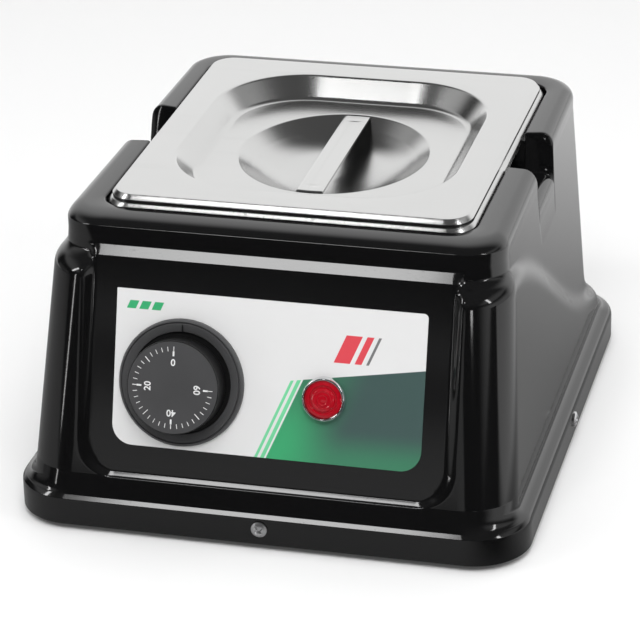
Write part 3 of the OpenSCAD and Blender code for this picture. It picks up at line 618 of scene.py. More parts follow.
class ShellForm:
    """The shell's surface as functions of a station round it and a height."""

    def __init__(self, shell, pan):
        self.s = shell
        front, side, side_rear, rear = RIM_WIDTHS
        self.pocket_a = pan.width / 2 + POCKET_GAP
        self.pocket_b = pan.depth / 2 + POCKET_GAP
        self.pan_y = pan.middle
        self.collar_z = shell.rim_z - RIM_ROUND
        self.collar = (self.pocket_a + side, self.pocket_a + side_rear,
                       pan.middle - self.pocket_b - front, pan.middle + self.pocket_b + rear)
        self.notch_y = pan.middle + NOTCH_BACK
        self.seat_z = shell.rim_z - SEAT_DROP
        self.bevel = (shell.shoulder_front - BEVEL_HALF, shell.shoulder_front + BEVEL_HALF)
        self.part, self.share = self.stations()

    def side_share(self, y):
        """Share of the side's length at which y lies."""
        _, _, f, b = self.collar
        return (y - f - COLLAR_R) / (b - f - 2 * COLLAR_R)

    def stations(self):
        """From the middle of the front to the middle of the rear, close together where the form turns."""
        front = np.concatenate([np.linspace(0.02, 0.68, 8), np.linspace(0.71, 0.995, 40)])
        corner = np.arange(34) / 34
        ends = [self.side_share(self.notch_y + sign * self.s.notch_half + k * NOTCH_SOFT / 2)
                for sign in (-1, 1) for k in np.linspace(-1, 1, 17)]
        side = np.unique(np.concatenate([np.linspace(0, 0.992, 84), ends]).round(5))
        rear_corner = np.arange(20) / 20
        rear = np.linspace(0, 0.96, 10)
        pieces = (front, corner, side, rear_corner, rear)
        part = np.concatenate([np.full(len(q), k) for k, q in enumerate(pieces)])
        return part, np.concatenate(pieces)

    def outline(self, a, ar, f, b, r):
        """Rounded plan with half widths at front and rear, front and rear edges and a corner radius."""
        part, q = self.part, self.share
        t = np.pi / 2 * q
        x = np.select(
            [part == 0, part == 1, part == 2, part == 3],
            [(a - r) * q, a - r + r * np.sin(t), mix(a, ar, q), ar - r + r * np.cos(t)],
            (ar - r) * (1 - q))
        y = np.select(
            [part == 0, part == 1, part == 2, part == 3],
            [f + 0 * q, f + r - r * np.cos(t), mix(f + r, b - r, q), b - r + r * np.sin(t)],
            b + 0 * q)
        return x, y

    def outward(self):
        """Plan direction out of the wall at each station."""
        part, t = self.part, np.pi / 2 * self.share
        x = np.select([part == 1, part == 2, part == 3], [np.sin(t), 1 + 0 * t, np.cos(t)], 0 * t)
        y = np.select([part == 0, part == 1, part == 3, part == 4],
                      [-1 + 0 * t, -np.cos(t), np.sin(t), 1 + 0 * t], 0 * t)
        return x, y

    def inset(self, z):
        """How far the sides stand back from the skirt: a rounded edge and a cove above it."""
        turn = min(1, max(0, (z - SKIRT_TOP) / EDGE_R + 1))
        cove = min(1, max(0, (z - SKIRT_TOP) / (COVE_TOP - SKIRT_TOP)))
        edge = EDGE_IN * (1 - math.sqrt(1 - turn * turn))
        return edge + (BODY_INSET - EDGE_IN) * (1 - (1 - cove) ** COVE_POWER)

    def low(self, z):
        """Plan of the skirt and the lower body."""
        i = self.inset(z)
        a = self.s.skirt_w / 2 - i - SIDE_TAPER * max(0, z - COVE_TOP)
        f = np.interp(z, *FRONT_EDGE) + FRONT_SLOPE * max(0, z - FRONT_EDGE[0][2])
        half = self.s.skirt_d / 2
        return self.outline(a, a, f - half, half - i, self.s.skirt_r - i / 2)

    def up(self, z):
        """Plan of the upper body."""
        h = self.collar_z - z
        a, ar, f, b = self.collar
        return self.outline(a + SIDE_TAPER * h, ar + SIDE_TAPER * h, f - BROW_SLOPE * h,
                            b + REAR_TAPER * h, COLLAR_R)

    def shoulder(self, y):
        """Height of the shoulder, which falls in a long curve to the rear."""
        start, end = SHOULDER_SPAN
        fall = (1 + np.cos(np.pi * np.clip((y - start) / (end - start), 0, 1))) / 2
        return mix(self.s.shoulder_rear, self.s.shoulder_front, fall)

    def recess(self, x, z):
        """One inside the front recess, nought on the posts and the ledge."""
        dx = x - (self.s.recess_w / 2 - RECESS_R)
        dz = RECESS_Z + RECESS_R - z + 0 * x
        out_x, out_z = np.maximum(dx, 0), np.maximum(dz, 0)
        d = np.hypot(out_x, out_z) + np.minimum(np.maximum(dx, dz), 0) - RECESS_R
        down = out_z ** 2 / (out_x ** 2 + out_z ** 2 + TINY)
        share = np.clip(0.5 - d / mix(*RECESS_SOFT, down), 0, 1)
        return mix(smooth(share), share, down)

    def notch(self, y):
        """One across a finger notch, nought beside it."""
        reach = (self.s.notch_half + NOTCH_SOFT / 2 - abs(y - self.notch_y)) / NOTCH_SOFT
        return np.where(self.part == 2, smooth(reach), 0)

    def dip(self, z):
        """How far a row is pulled down at a finger notch."""
        _, y = self.up(z)
        return self.s.notch_dip * self.notch(y) * smooth((z - self.collar_z) / DIP_SPAN + 1)

    def outer(self, z):
        """Row of points on the outer face: posts, ledge, recess, bevel and the groove below a notch."""
        foot, top = self.bevel
        low_x, low_y = self.low(z)
        up_x, up_y = self.up(z)
        _, brow_y = self.up(max(z, top))
        inside = np.where(self.part < 2, self.recess(low_x, z), 0)
        along = np.select([self.part < 2, self.part == 2], [0 * inside, self.share], 1)
        crease = self.shoulder(up_y) - LEDGE_LOW
        join = crease - LEDGE_JOIN * LEDGE_DROP
        reach = mix(*LEDGE_SWEEP, smooth(along / SWEEP_SHARE))
        tail = 0.5 * np.clip(1 - (z - join) / reach, 0, 1) ** (LEDGE_STEEP * reach / LEDGE_DROP)
        bulge = np.sqrt(1 - (1 - np.clip((crease - z) / LEDGE_DROP, 0, 1)) ** 2)
        post = 1 - np.where(z > join, tail, bulge)
        bevel = np.clip((z - foot) / (top - foot), 0, 1)
        panel = mix(np.maximum(low_y, panel_y(min(z, foot))), brow_y, bevel)
        start, end = (self.collar_z - depth for depth in GROOVE_SPAN)
        fade = smooth((z - start) / (end - start))
        cut = GROOVE * self.notch(up_y) * fade - SIDE_TAPER * self.dip(z)
        return np.stack([mix(low_x, up_x, mix(post, bevel, inside)) - cut,
                         mix(mix(low_y, up_y, post), panel, inside), z - self.dip(z)], 1)

    def inner(self, z, source):
        """Row of points on the inner face, behind the outer row at another height."""
        p, (nx, ny) = self.outer(source), self.outward()
        return p + np.stack([-WALL * nx, -WALL * ny, np.full(len(nx), z - source)], 1)

    def pocket(self, grow, z):
        """Row of points round the pocket for the pan's flange."""
        a, b = self.pocket_a + grow, self.pocket_b + grow
        x, y = self.outline(a, a, self.pan_y - b + POCKET_FRONT, self.pan_y + b, POCKET_R + grow / 2)
        return np.stack([x, y, z - self.dip(self.collar_z)], 1)

    def rim(self):
        """Rows of the crowned rim from its outer crease to its level top."""
        p, edge = self.outer(self.collar_z), self.pocket(0, 0)
        side = np.select([self.part == 0, self.part == 1], [0 * self.share, smooth(self.share)], 1)
        tilt = np.radians(np.linspace(0, RIM_TILT, 18))
        turn = np.sin(tilt) / np.sin(tilt[-1])
        shares = [mix(*RIM_CROWN, side) * (1 - t) ** mix(*RIM_POWER, side) for t in turn]
        slope = (np.tan(tilt[1:]) + np.tan(tilt[:-1])) / 2
        drop, rows = 0 * side, []
        for k, t in enumerate(shares):
            if k:
                drop = drop + slope[k - 1] * (shares[k - 1] - t) * RIM_WIDTHS[0]
            rows.append(np.stack([mix(p[:, 0], edge[:, 0], t), mix(p[:, 1], edge[:, 1], t),
                                  p[:, 2] + RIM_ROUND - drop], 1))
        return rows[::-1]

    def rows(self):
        """All the rows, up the outer face, over the rim, down the pocket and down the inner face."""
        foot, top = self.bevel
        edges = (*FRONT_EDGE[0][:2], foot, top)
        crisp = [z + d for z in edges for d in (-CRISP, 0.0, CRISP)]
        body = [z for stretch in BODY_LEVELS for z in np.linspace(*stretch)[1:]]
        levels = sorted([*SKIRT_LEVELS, *crisp, *body, self.collar_z])
        rows = [self.outer(z) for z in levels] + self.rim()
        edge_z, under = self.s.rim_z - POCKET_EDGE, self.seat_z - WALL
        rows += [self.pocket(POCKET_EDGE * (1 - math.sin(t)), edge_z + POCKET_EDGE * math.cos(t))
                 for t in np.linspace(0, math.pi / 2, 5)]
        rows += [self.pocket(g, z) for g, z in
                 ((0, self.seat_z), (-SEAT_IN, self.seat_z), (-SEAT_IN, under), (WALL, under))]
        inner = [self.collar_z, *np.linspace(top, INNER_LOW, 40), *np.linspace(*INNER_FOOT, 5)]
        rows += [self.inner(z - INNER_DROP, z) for z in inner]
        rows += [self.inner(SKIRT_TOP - 2, INNER_SKIRT), self.inner(SKIRT_TOP - 3.5, FOOT_GAP + 1),
                 self.inner(FOOT_GAP, FOOT_GAP)]
        return rows

    def mesh(self):
        """Points and faces of the right half and its mirror image."""
        right = np.stack(self.rows())
        left = right[:, ::-1] * np.array([-1, 1, 1])
        ring = np.concatenate([right, left], 1)
        return ring.reshape(-1, 3), quads(ring.shape[0], ring.shape[1], close_rows=True)


# Pressed sheet: rounded rings stacked from the middle, over the edge and back underneath

def rounded_ring(a, b, r, corner=16, side=12):
    """Points of a rounded rectangle, always the same number, from the front side round to the left."""
    points = []
    for k, (sx, sy) in enumerate(((1, -1), (1, 1), (-1, 1), (-1, -1))):
        centre = np.array([sx * (a - r), sy * (b - r)])
        turn = math.pi / 2 * (k - 1)
        for t in np.linspace(0, math.pi / 2, corner):
            points.append(centre + r * np.array([math.cos(turn + t), math.sin(turn + t)]))
        nx, ny = ((1, 1), (-1, 1), (-1, -1), (1, -1))[k]
        after = np.array([nx * (a - r), ny * (b - r)])
        end = after + r * np.array([math.cos(turn + math.pi / 2), math.sin(turn + math.pi / 2)])
        start = points[-1]
        for t in np.arange(1, side) / side:
            points.append(mix(start, end, t))
    return np.array(points)


def round_ring(radius, like):
    """Circle with its points at the angles of another ring's."""
    return like / np.linalg.norm(like, axis=1)[:, None] * radius


def stacked(rings, middle_y):
    """Closed mesh from rings of points; its first and last rings are closed with a fan."""
    count = len(rings[0][0])
    points = np.concatenate([np.column_stack([ring, np.full(count, z)]) for ring, z in rings])
    faces = quads(len(rings), count)
    last = len(points)
    ends = [np.append(rings[0][0].mean(0), rings[0][1]), np.append(rings[-1][0].mean(0), rings[-1][1])]
    points = np.concatenate([points, ends])
    top = (len(rings) - 1) * count
    faces += [(last, (c + 1) % count, c) for c in range(count)]
    faces += [(last + 1, top + c, top + (c + 1) % count) for c in range(count)]
    return points + np.array([0, middle_y, 0]), faces


def lid_rings(pan, flange_z, lid_z):
    """Rings of the lid from the middle of its dish, over its top to the edge, and back underneath."""
    a, b = pan.width / 2, pan.depth / 2
    floor, low = lid_z - pan.lid_recess, flange_z + FLANGE_UP + 0.1

    def edge_ring(i, z):
        return rounded_ring(a - i, b - i, LID_CORNER - i), z

    edge = fillet([(LID_IN, low, 0), (LID_IN, lid_z - 2.0, 0.3), (3.2, lid_z, 0.5), (6.0, lid_z, 0)], 4)
    rings = [edge_ring(i, z) for i, z in edge]
    well_a, well_b = a - LID_FLAT[0], b - LID_FLAT[1]
    wall = fillet([(-9, lid_z, 0), (0, lid_z, 2.0), (8.0, floor, 4.0), (14.0, floor, 0)], 9)
    rings += [(rounded_ring(well_a - i, well_b - i, LID_WELL_R - 0.9 * i), z) for i, z in wall]
    like = rings[-1][0]
    dish_r = pan.dish_d / 2
    lip = fillet([(dish_r + 1.4, 0, 0), (dish_r, 0, 2.0), (dish_r - 6.0, -4.6, 0)], 5)
    bowl = spline([lip[-1], *BOWL], 5)
    for radius, drop in lip + bowl[1:]:
        rings.append((round_ring(radius, like) * np.array([DISH_NARROW, 1]), floor + drop))
    under = [(ring, z - SHEET) for ring, z in reversed(rings[len(edge) + 1:])]
    inside = LID_IN + SHEET
    inner = [edge_ring(i, z) for i, z in ((3.7, lid_z - SHEET), (inside, lid_z - 2.3), (inside, low))]
    return list(reversed(under + inner + rings))


def pan_rings(pan, flange_z, seat_z, floor_z):
    """Rings of the pan from the middle of its inside, over the flange, to the middle of its underside."""
    a, b = pan.width / 2, pan.depth / 2
    wall_a, wall_b = a - PAN_FLANGE, b - PAN_FLANGE
    top = flange_z + FLANGE_UP
    under, inside = top - SHEET, floor_z + SHEET

    def wall_rings(profile, radius):
        rings = []
        for i, z in fillet(profile, 8):
            rings.append((rounded_ring(wall_a - i, wall_b - i, max(6.0, radius - 0.5 * i)), z))
        return rings + [(rounded_ring(*MIDDLE_RING), profile[-1][1])]

    edge = fillet([(0, seat_z, 0), (0, top - 1.7, 0.4), (1.4, top, 0.4), (FLANGE_EDGE, top, 0)], 4)
    rings = [(rounded_ring(a - i, b - i, PAN_CORNER - i), z) for i, z in edge]
    rings += wall_rings([(-6, top, 0), (SHEET, top, 3.0), (3.6, inside, 11.0), (PAN_FLOOR_IN, inside, 0)],
                        PAN_WALL_R - SHEET)
    turned_down = rounded_ring(a - 1, b - 1, 9)
    below = [(turned_down, seat_z), (turned_down, top - FLANGE_EDGE),
             (rounded_ring(a - FLANGE_EDGE, b - FLANGE_EDGE, 8.4), under),
             (rounded_ring(wall_a + 5, wall_b + 5, 20), under)]
    below += wall_rings([(-4, under, 0), (0, under, 2.2), (2.8, floor_z, 11.8), (PAN_FLOOR_IN, floor_z, 0)],
                        PAN_WALL_R)
    return list(reversed(rings)) + below


def domed_head(radius, height, cross, depth, slot_half=0.62):
    """Points and faces of a domed screw head with a cross recess, its seat at z = 0."""
    rings, spokes = 26, 72
    spoke = [(math.cos(t), math.sin(t)) for t in 2 * math.pi * np.arange(spokes) / spokes]
    points = [(0, 0, height - depth)]
    for k in range(1, rings + 1):
        r = radius * k / rings
        dome = height * (1 - 0.55 * (r / radius) ** 3.2)
        fade = min(1.0, 1.7 * max(0.0, 1 - (r / cross) ** 2))
        for c, s in spoke:
            x, y = r * c, r * s
            slot = (max(0.0, 1 - abs(x) / slot_half) * (abs(y) < cross)
                    + max(0.0, 1 - abs(y) / slot_half) * (abs(x) < cross))
            points.append((x, y, dome - depth * min(1.0, 1.8 * slot) * fade))
    points += [(radius * c, radius * s, 0) for c, s in spoke]
    faces = [(0, 1 + c, 1 + (c + 1) % spokes) for c in range(spokes)]
    for k in range(rings):
        a, b = 1 + k * spokes, 1 + (k + 1) * spokes
        faces += [(a + c, b + c, b + (c + 1) % spokes, a + (c + 1) % spokes) for c in range(spokes)]
    last = 1 + rings * spokes
    faces.append(tuple(last + c for c in reversed(range(spokes))))
    return points, faces


class TankOperator:
    """What the tank's operators share"""
    bl_options = {"REGISTER", "UNDO"}

    def execute(self, context):
        scene = context.scene
        self.shell = in_mm(scene.tank_shell)
        self.pan = in_mm(scene.tank_pan)
        self.control = in_mm(scene.tank_control)
        colours = scene.tank_colours
        self.colours = SimpleNamespace(
            **{key: tuple(getattr(colours, key)) for key in TankColours.__annotations__})
        self.seat_z = self.shell.rim_z - SEAT_DROP
        self.flange_z = self.seat_z + FLANGE_H
        self.lid_z = self.flange_z + LID_H
        self.build()
        return {"FINISHED"}


class TANK_OT_shell(TankOperator, bpy.types.Operator):
    """Makes the gloss black shell with its skirt, sloping shoulder, recess and finger notches"""
    bl_idname = "tank.shell"
    bl_label = "Shell"

    def build(self):
        points, faces = ShellForm(self.shell, self.pan).mesh()
        finish = gloss_plastic("shell_gloss", self.colours.shell)
        piece("shell", points, faces, finish, "housing", ["housing_shell"], sharp=50.0)


class TANK_OT_pan(TankOperator, bpy.types.Operator):
    """Makes the pan with its rolled flange and rounded floor"""
    bl_idname = "tank.pan"
    bl_label = "Pan"

    def build(self):
        rings = pan_rings(self.pan, self.flange_z, self.seat_z, self.flange_z - PAN_DEPTH)
        points, faces = stacked(rings, self.pan.middle)
        finish = satin_steel("pan_steel", self.colours.steel, 0.24, (900.0, 900.0, 8.0))
        piece("deep_pan", points, faces, finish, "pan", ["pan"])


class TANK_OT_lid(TankOperator, bpy.types.Operator):
    """Makes the pressed lid and the strip across its dish"""
    bl_idname = "tank.lid"
    bl_label = "Lid"

    def build(self):
        points, faces = stacked(lid_rings(self.pan, self.flange_z, self.lid_z), self.pan.middle)
        finish = satin_steel("lid_steel", self.colours.steel)
        piece("pressed_lid", points, faces, finish, "lid", ["lid"])
        self.strip(satin_steel("strip_steel", scaled(self.colours.steel, 1.02), 0.2, (900.0, 8.0, 900.0)))

    def strip(self, finish):
        """Flat strip with round ends, soft edges and a spot weld at each end."""
        half, reach = self.pan.strip_w / 2, STRIP_REACH * self.pan.dish_d
        top = self.lid_z - self.pan.lid_recess + STRIP_UP
        steps = np.array(STRIP_STEPS)
        x, t = np.meshgrid(half * np.concatenate([-steps[::-1], [0], steps]), np.linspace(-1, 1, 161))
        y = t * np.sqrt(reach ** 2 - x ** 2)
        from_side = np.clip((half - abs(x)) / STRIP_SOFT, 0, 1)
        from_end = np.clip((1 - abs(t)) * reach / STRIP_SOFT, 0, 1)
        soft = STRIP_SOFT * (1 - np.sqrt(1 - (1 - np.minimum(from_side, from_end)) ** 2))
        weld = 0
        for end in (-WELD_AT * reach, WELD_AT * reach):
            weld = weld + np.exp(-((x / WELD[0]) ** 2 + ((y - end) / WELD[1]) ** 2) ** 2)
        upper = np.stack([x, y + self.pan.middle, top - soft - WELD_DEPTH * weld], 2)
        lower = np.stack([x, y + self.pan.middle, np.full_like(x, top - STRIP_T)], 2)
        rows, columns = x.shape
        grid = quads(rows, columns, close_columns=False)
        count = rows * columns
        faces = grid + [tuple(count + i for i in reversed(face)) for face in grid]
        number = np.arange(count).reshape(rows, columns)
        border = [*number[0], *number[1:, -1], *number[-1, -2::-1], *number[-2:0:-1, 0]]
        border = [int(k) for k in border]
        faces += [(a, count + a, count + b, b) for a, b in zip(border, border[1:] + border[:1])]
        points = np.concatenate([upper.reshape(-1, 3), lower.reshape(-1, 3)])
        piece("grip_strip", points, faces, finish, "lid", ["lid_handle"])


class TANK_OT_dial(TankOperator, bpy.types.Operator):
    """Makes the thermostat's bezel and knob with its printed scale"""
    bl_idname = "tank.dial"
    bl_label = "Dial"

    def build(self):
        place = on_panel(KNOB_AT)
        self.bezel(place)
        self.knob(place)
        self.scale(place)

    def bezel(self, place):
        outer, inner, bush = self.control.bezel_d / 2, self.control.opening_d / 2, 5.5
        floor, lip, crest, groove = 1.6, 2.55, 3.35, 2.4
        profile = fillet([
            (bush, floor, 0), (inner, floor, 0.1), (inner, lip, 0.35), (outer - 1.9, crest, 0.1),
            (outer - 1.8, groove, 0.05), (outer - 1.3, groove, 0.05), (outer - 1.2, crest - 0.2, 0.1),
            (outer - 0.5, 2.9, 0.4), (outer, 2.0, 0.4), (outer, LABEL_T, 0), (bush, LABEL_T, 0),
            (bush, floor, 0)], 4)
        points, faces = turned(list(reversed(profile)), 160)
        finish = satin_plastic("bezel_satin", scaled(self.colours.knob, 1.05), 0.46)
        piece("dial_bezel", points, faces, finish, "housing", ["thermostat_bezel"],
              place, 35.0)
        # Painted shade: a near-black copy of the knob colour, laid as a thin sheet over the bezel's floor
        # and opening wall, darkens the shaded gap round the knob. The same finish also gives the index mark
        # its own dark colour.
        shade = satin_plastic("bezel_shade", scaled(self.colours.knob, 0.12), 0.4)
        gap = 0.03
        painted_shade_lining = [(bush, floor + gap), (inner - gap, floor + gap), (inner - gap, lip - 0.1)]
        points, faces = turned(painted_shade_lining, 160)
        piece("bezel_well", points, faces, shade, "housing", [], place, 35.0)
        half, low, high = 0.26, inner + 0.2, outer - 2.2
        corners = [(-half, low), (half, low), (half, high), (-half, high)]
        points, faces = boxes([(corners, groove, crest + gap)])
        piece("bezel_index", points, faces, shade, "housing", [], place, 30.0)

    def face_height(self, radius):
        return self.control.knob_h - FACE_DOME * (radius / (self.control.knob_d / 2)) ** 2

    def knob(self, place):
        r = self.control.knob_d / 2
        back = 4.2
        dome = [(q, self.face_height(q)) for q in np.linspace(r - 0.5, 0, 18)]
        edge = fillet([(r, back, 0), (r - 0.1, self.face_height(r) + 0.05, 0.4), dome[0] + (0,)], 6)
        inside = [(r - 2, back), (r - 2, 11.5), (3.0, 11.5), (3.0, 12.0), (0, 12.0)]
        points, faces = turned([(max(0.0, x), z) for x, z in list(reversed(inside)) + edge], 160)
        # Painted shade: the knob's side wall takes the knob colour darkened to about an eighth, so it reads
        # as shaded below the lighter face. The knob is one black moulding.
        finish = satin_plastic("knob_side", scaled(self.colours.knob, 0.12), 0.3)
        piece("dial_knob", points, faces, finish, "dial", ["thermostat_knob"], place, 35.0)
        points, faces = turned([(max(0.0, x), z) for x, z in dome], 160)
        finish = satin_plastic("knob_satin", self.colours.knob, 0.4)
        piece("dial_face", points, faces, finish, "dial", [], place, 35.0)

    def scale(self, place):
        ink = printed_ink("dial_ink")
        near, middle, far = TICK_RADII
        blocks = []
        for value in range(0, DIAL_TOP + 1, 2):
            turn = math.pi / 2 + math.radians(value * DIAL_STEP)
            bars = [(0.14, middle, far)]
            if value % 10 == 0:
                bars = [(0.16, near, far)]
            if value % 20 == 0:
                bars = [(0.16, middle + 0.1, far + 0.1), (0.38, near, middle + 0.2)]
            u = Vector((math.cos(turn), math.sin(turn)))
            w = Vector((-u.y, u.x))
            for half, low, high in bars:
                corners = [u * low - w * half, u * high - w * half, u * high + w * half, u * low + w * half]
                level = self.face_height((low + high) / 2)
                blocks.append(([tuple(c) for c in corners], level - 0.2, level + INK_LIFT))
        points, faces = boxes(blocks)
        piece("dial_ticks", points, faces, ink, "dial", [], place, 30.0)
        for value in range(0, DIAL_TOP + 1, 20):
            self.figure(value, place, ink)

    def figure(self, value, place, ink):
        text = bpy.data.curves.new(f"dial_figure_{value}", "FONT")
        text.body = str(value)
        text.align_x, text.align_y = "CENTER", "CENTER"
        text.size = self.control.figure_h * 1.35 * MM
        text.extrude = 0.1 * MM
        text.offset = 0.07 * MM
        holder = bpy.data.objects.new("holder", text)
        bpy.context.scene.collection.objects.link(holder)
        bpy.context.view_layer.update()
        mesh = bpy.data.meshes.new_from_object(holder.evaluated_get(bpy.context.evaluated_depsgraph_get()))
        bpy.data.objects.remove(holder)
        mesh.name = f"dial_figure_{value}"
        turn = Matrix.Rotation(math.radians(value * DIAL_STEP), 4, "Z")
        height = self.face_height(FIGURE_R) + INK_LIFT - 0.1
        mesh.transform(place @ turn @ Matrix.Translation(Vector((0, FIGURE_R, height)) * MM))
        mesh.materials.clear()
        mesh.materials.append(ink)
        made = bpy.data.objects.new(f"dial_figure_{value}", mesh)
        bpy.context.scene.collection.objects.link(made)
        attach(made, "dial")


class TANK_OT_lamp(TankOperator, bpy.types.Operator):
    """Makes the pilot lamp's chrome bezel and ribbed lens"""
    bl_idname = "tank.lamp"
    bl_label = "Pilot lamp"

    def build(self):
        place = on_panel(LAMP_AT)
        r = self.control.lamp_d / 2
        ring = fillet([
            (5.0, 1.2, 0), (r - 1.5, 1.2, 0.1), (r - 1.5, 3.0, 0.5), (r - 0.9, 3.6, 0.5),
            (r - 0.2, 2.2, 0.8), (r, LABEL_T, 0), (5.0, LABEL_T, 0), (5.0, 1.2, 0)], 6)
        points, faces = turned(list(reversed(ring)), 112)
        piece("lamp_ring", points, faces, chrome_plate("lamp_plating"), "housing",
              ["lamp_bezel"], place, 35.0)
        edge = r - 1.56
        lens = fillet([
            (edge, 1.2, 0), (edge, 2.4, 0.4), (edge - 1.9, 3.0, 0.3), (edge - 2.3, 2.3, 0.2),
            (edge - 2.9, 2.3, 0.2), (edge - 3.3, 3.1, 0.3), (edge - 4.4, 3.5, 0.2), (edge - 4.7, 3.3, 0.1),
            (edge - 6.0, 3.7, 0.2), (edge - 6.3, 3.5, 0.1), (0.0, 3.85, 0)], 4)
        profile = [(0, 1.2)] + lens
        points, faces = turned([(max(0.0, x), z) for x, z in profile], 112)
        piece("lamp_glass", points, faces, red_lens("lens_red", self.colours.lens), "housing",
              ["lamp_lens"], place, 35.0)


class TANK_OT_screws(TankOperator, bpy.types.Operator):
    """Makes the domed screws in the middle of each side of the skirt"""
    bl_idname = "tank.screws"
    bl_label = "Skirt screws"

    def build(self):
        finish = plated_steel("screw_plating", (0.74, 0.74, 0.75), 0.28)
        points, faces = domed_head(3.5, 1.7, 2.1, 1.3)
        for k, name in enumerate(("front", "right", "rear", "left")):
            reach = (self.shell.skirt_d if k % 2 == 0 else self.shell.skirt_w) / 2
            side = Matrix.Rotation(math.pi / 2 * k, 4, "Z")
            seat = Matrix.Translation(Vector((0, -reach, SCREW_Z)) * MM)
            lay = Matrix.Rotation(math.pi / 2, 4, "X") @ Matrix.Rotation(math.radians(38 + 23 * k), 4, "Z")
            replaced = ["shell_screws"] if k == 0 else []
            piece(f"skirt_screw_{name}", points, faces, finish, "housing", replaced,
                  side @ seat @ lay, 32.0)


class TANK_OT_solids(TankOperator, bpy.types.Operator):
    """Gives the solids that stay their finishes"""
    bl_idname = "tank.solids"
    bl_label = "Inner pieces"

    def build(self):
        zinc = plated_steel("zinc_sheet", (0.66, 0.67, 0.68))
        screw = plated_steel("screw_zinc", (0.7, 0.7, 0.7), 0.28)
        rubber = dull_fill("foot_rubber", (0.018, 0.018, 0.018), (0.03, 0.03, 0.03), 400, 0.75, 0.15)
        copper = satin_steel("copper_tube", (0.72, 0.4, 0.26), 0.28)
        black = satin_plastic("black_nylon", (0.02, 0.02, 0.021), 0.4)
        finishes = {
            "base_plate well_standoffs bulb_clip lamp_nut": zinc,
            "foot_screws standoff_screws well_screws "
            "thermostat_screws thermostat_shaft terminal_screws": screw,
            "foot_front_left foot_front_right foot_rear_left foot_rear_right": rubber,
            "sensor_bulb capillary_tube": copper,
            "cable_gland gland_nut lamp_body": black,
            "heating_well": satin_steel("well_sheet", (0.62, 0.62, 0.61), 0.3, (900.0, 900.0, 10.0)),
            "heating_mat": dull_fill("mat_silicone", (0.42, 0.12, 0.05), (0.5, 0.16, 0.07), 700, 0.6, 0.2),
            "insulation_wrap": dull_fill("glass_wool", (0.62, 0.56, 0.36), (0.75, 0.7, 0.5), 260, 0.9, 0.6),
            "thermal_cutout": satin_plastic("brown_phenolic", (0.06, 0.045, 0.038), 0.45),
            "thermostat_body": satin_plastic("thermoset_case", (0.25, 0.22, 0.18), 0.5),
            "terminal_block": satin_plastic("white_nylon", (0.72, 0.72, 0.7), 0.4),
            "earth_stud": satin_steel("brass_bar", (0.72, 0.55, 0.25), 0.25),
            "wiring": dull_fill("wire_sleeve", (0.3, 0.03, 0.025), (0.38, 0.045, 0.035), 900, 0.6, 0.2),
            "control_label": printed_label("label_print", self.colours),
        }
        for names, finish in finishes.items():
            for name in names.split():
                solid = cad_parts[name]
                solid.data.materials.clear()
                solid.data.materials.append(finish)


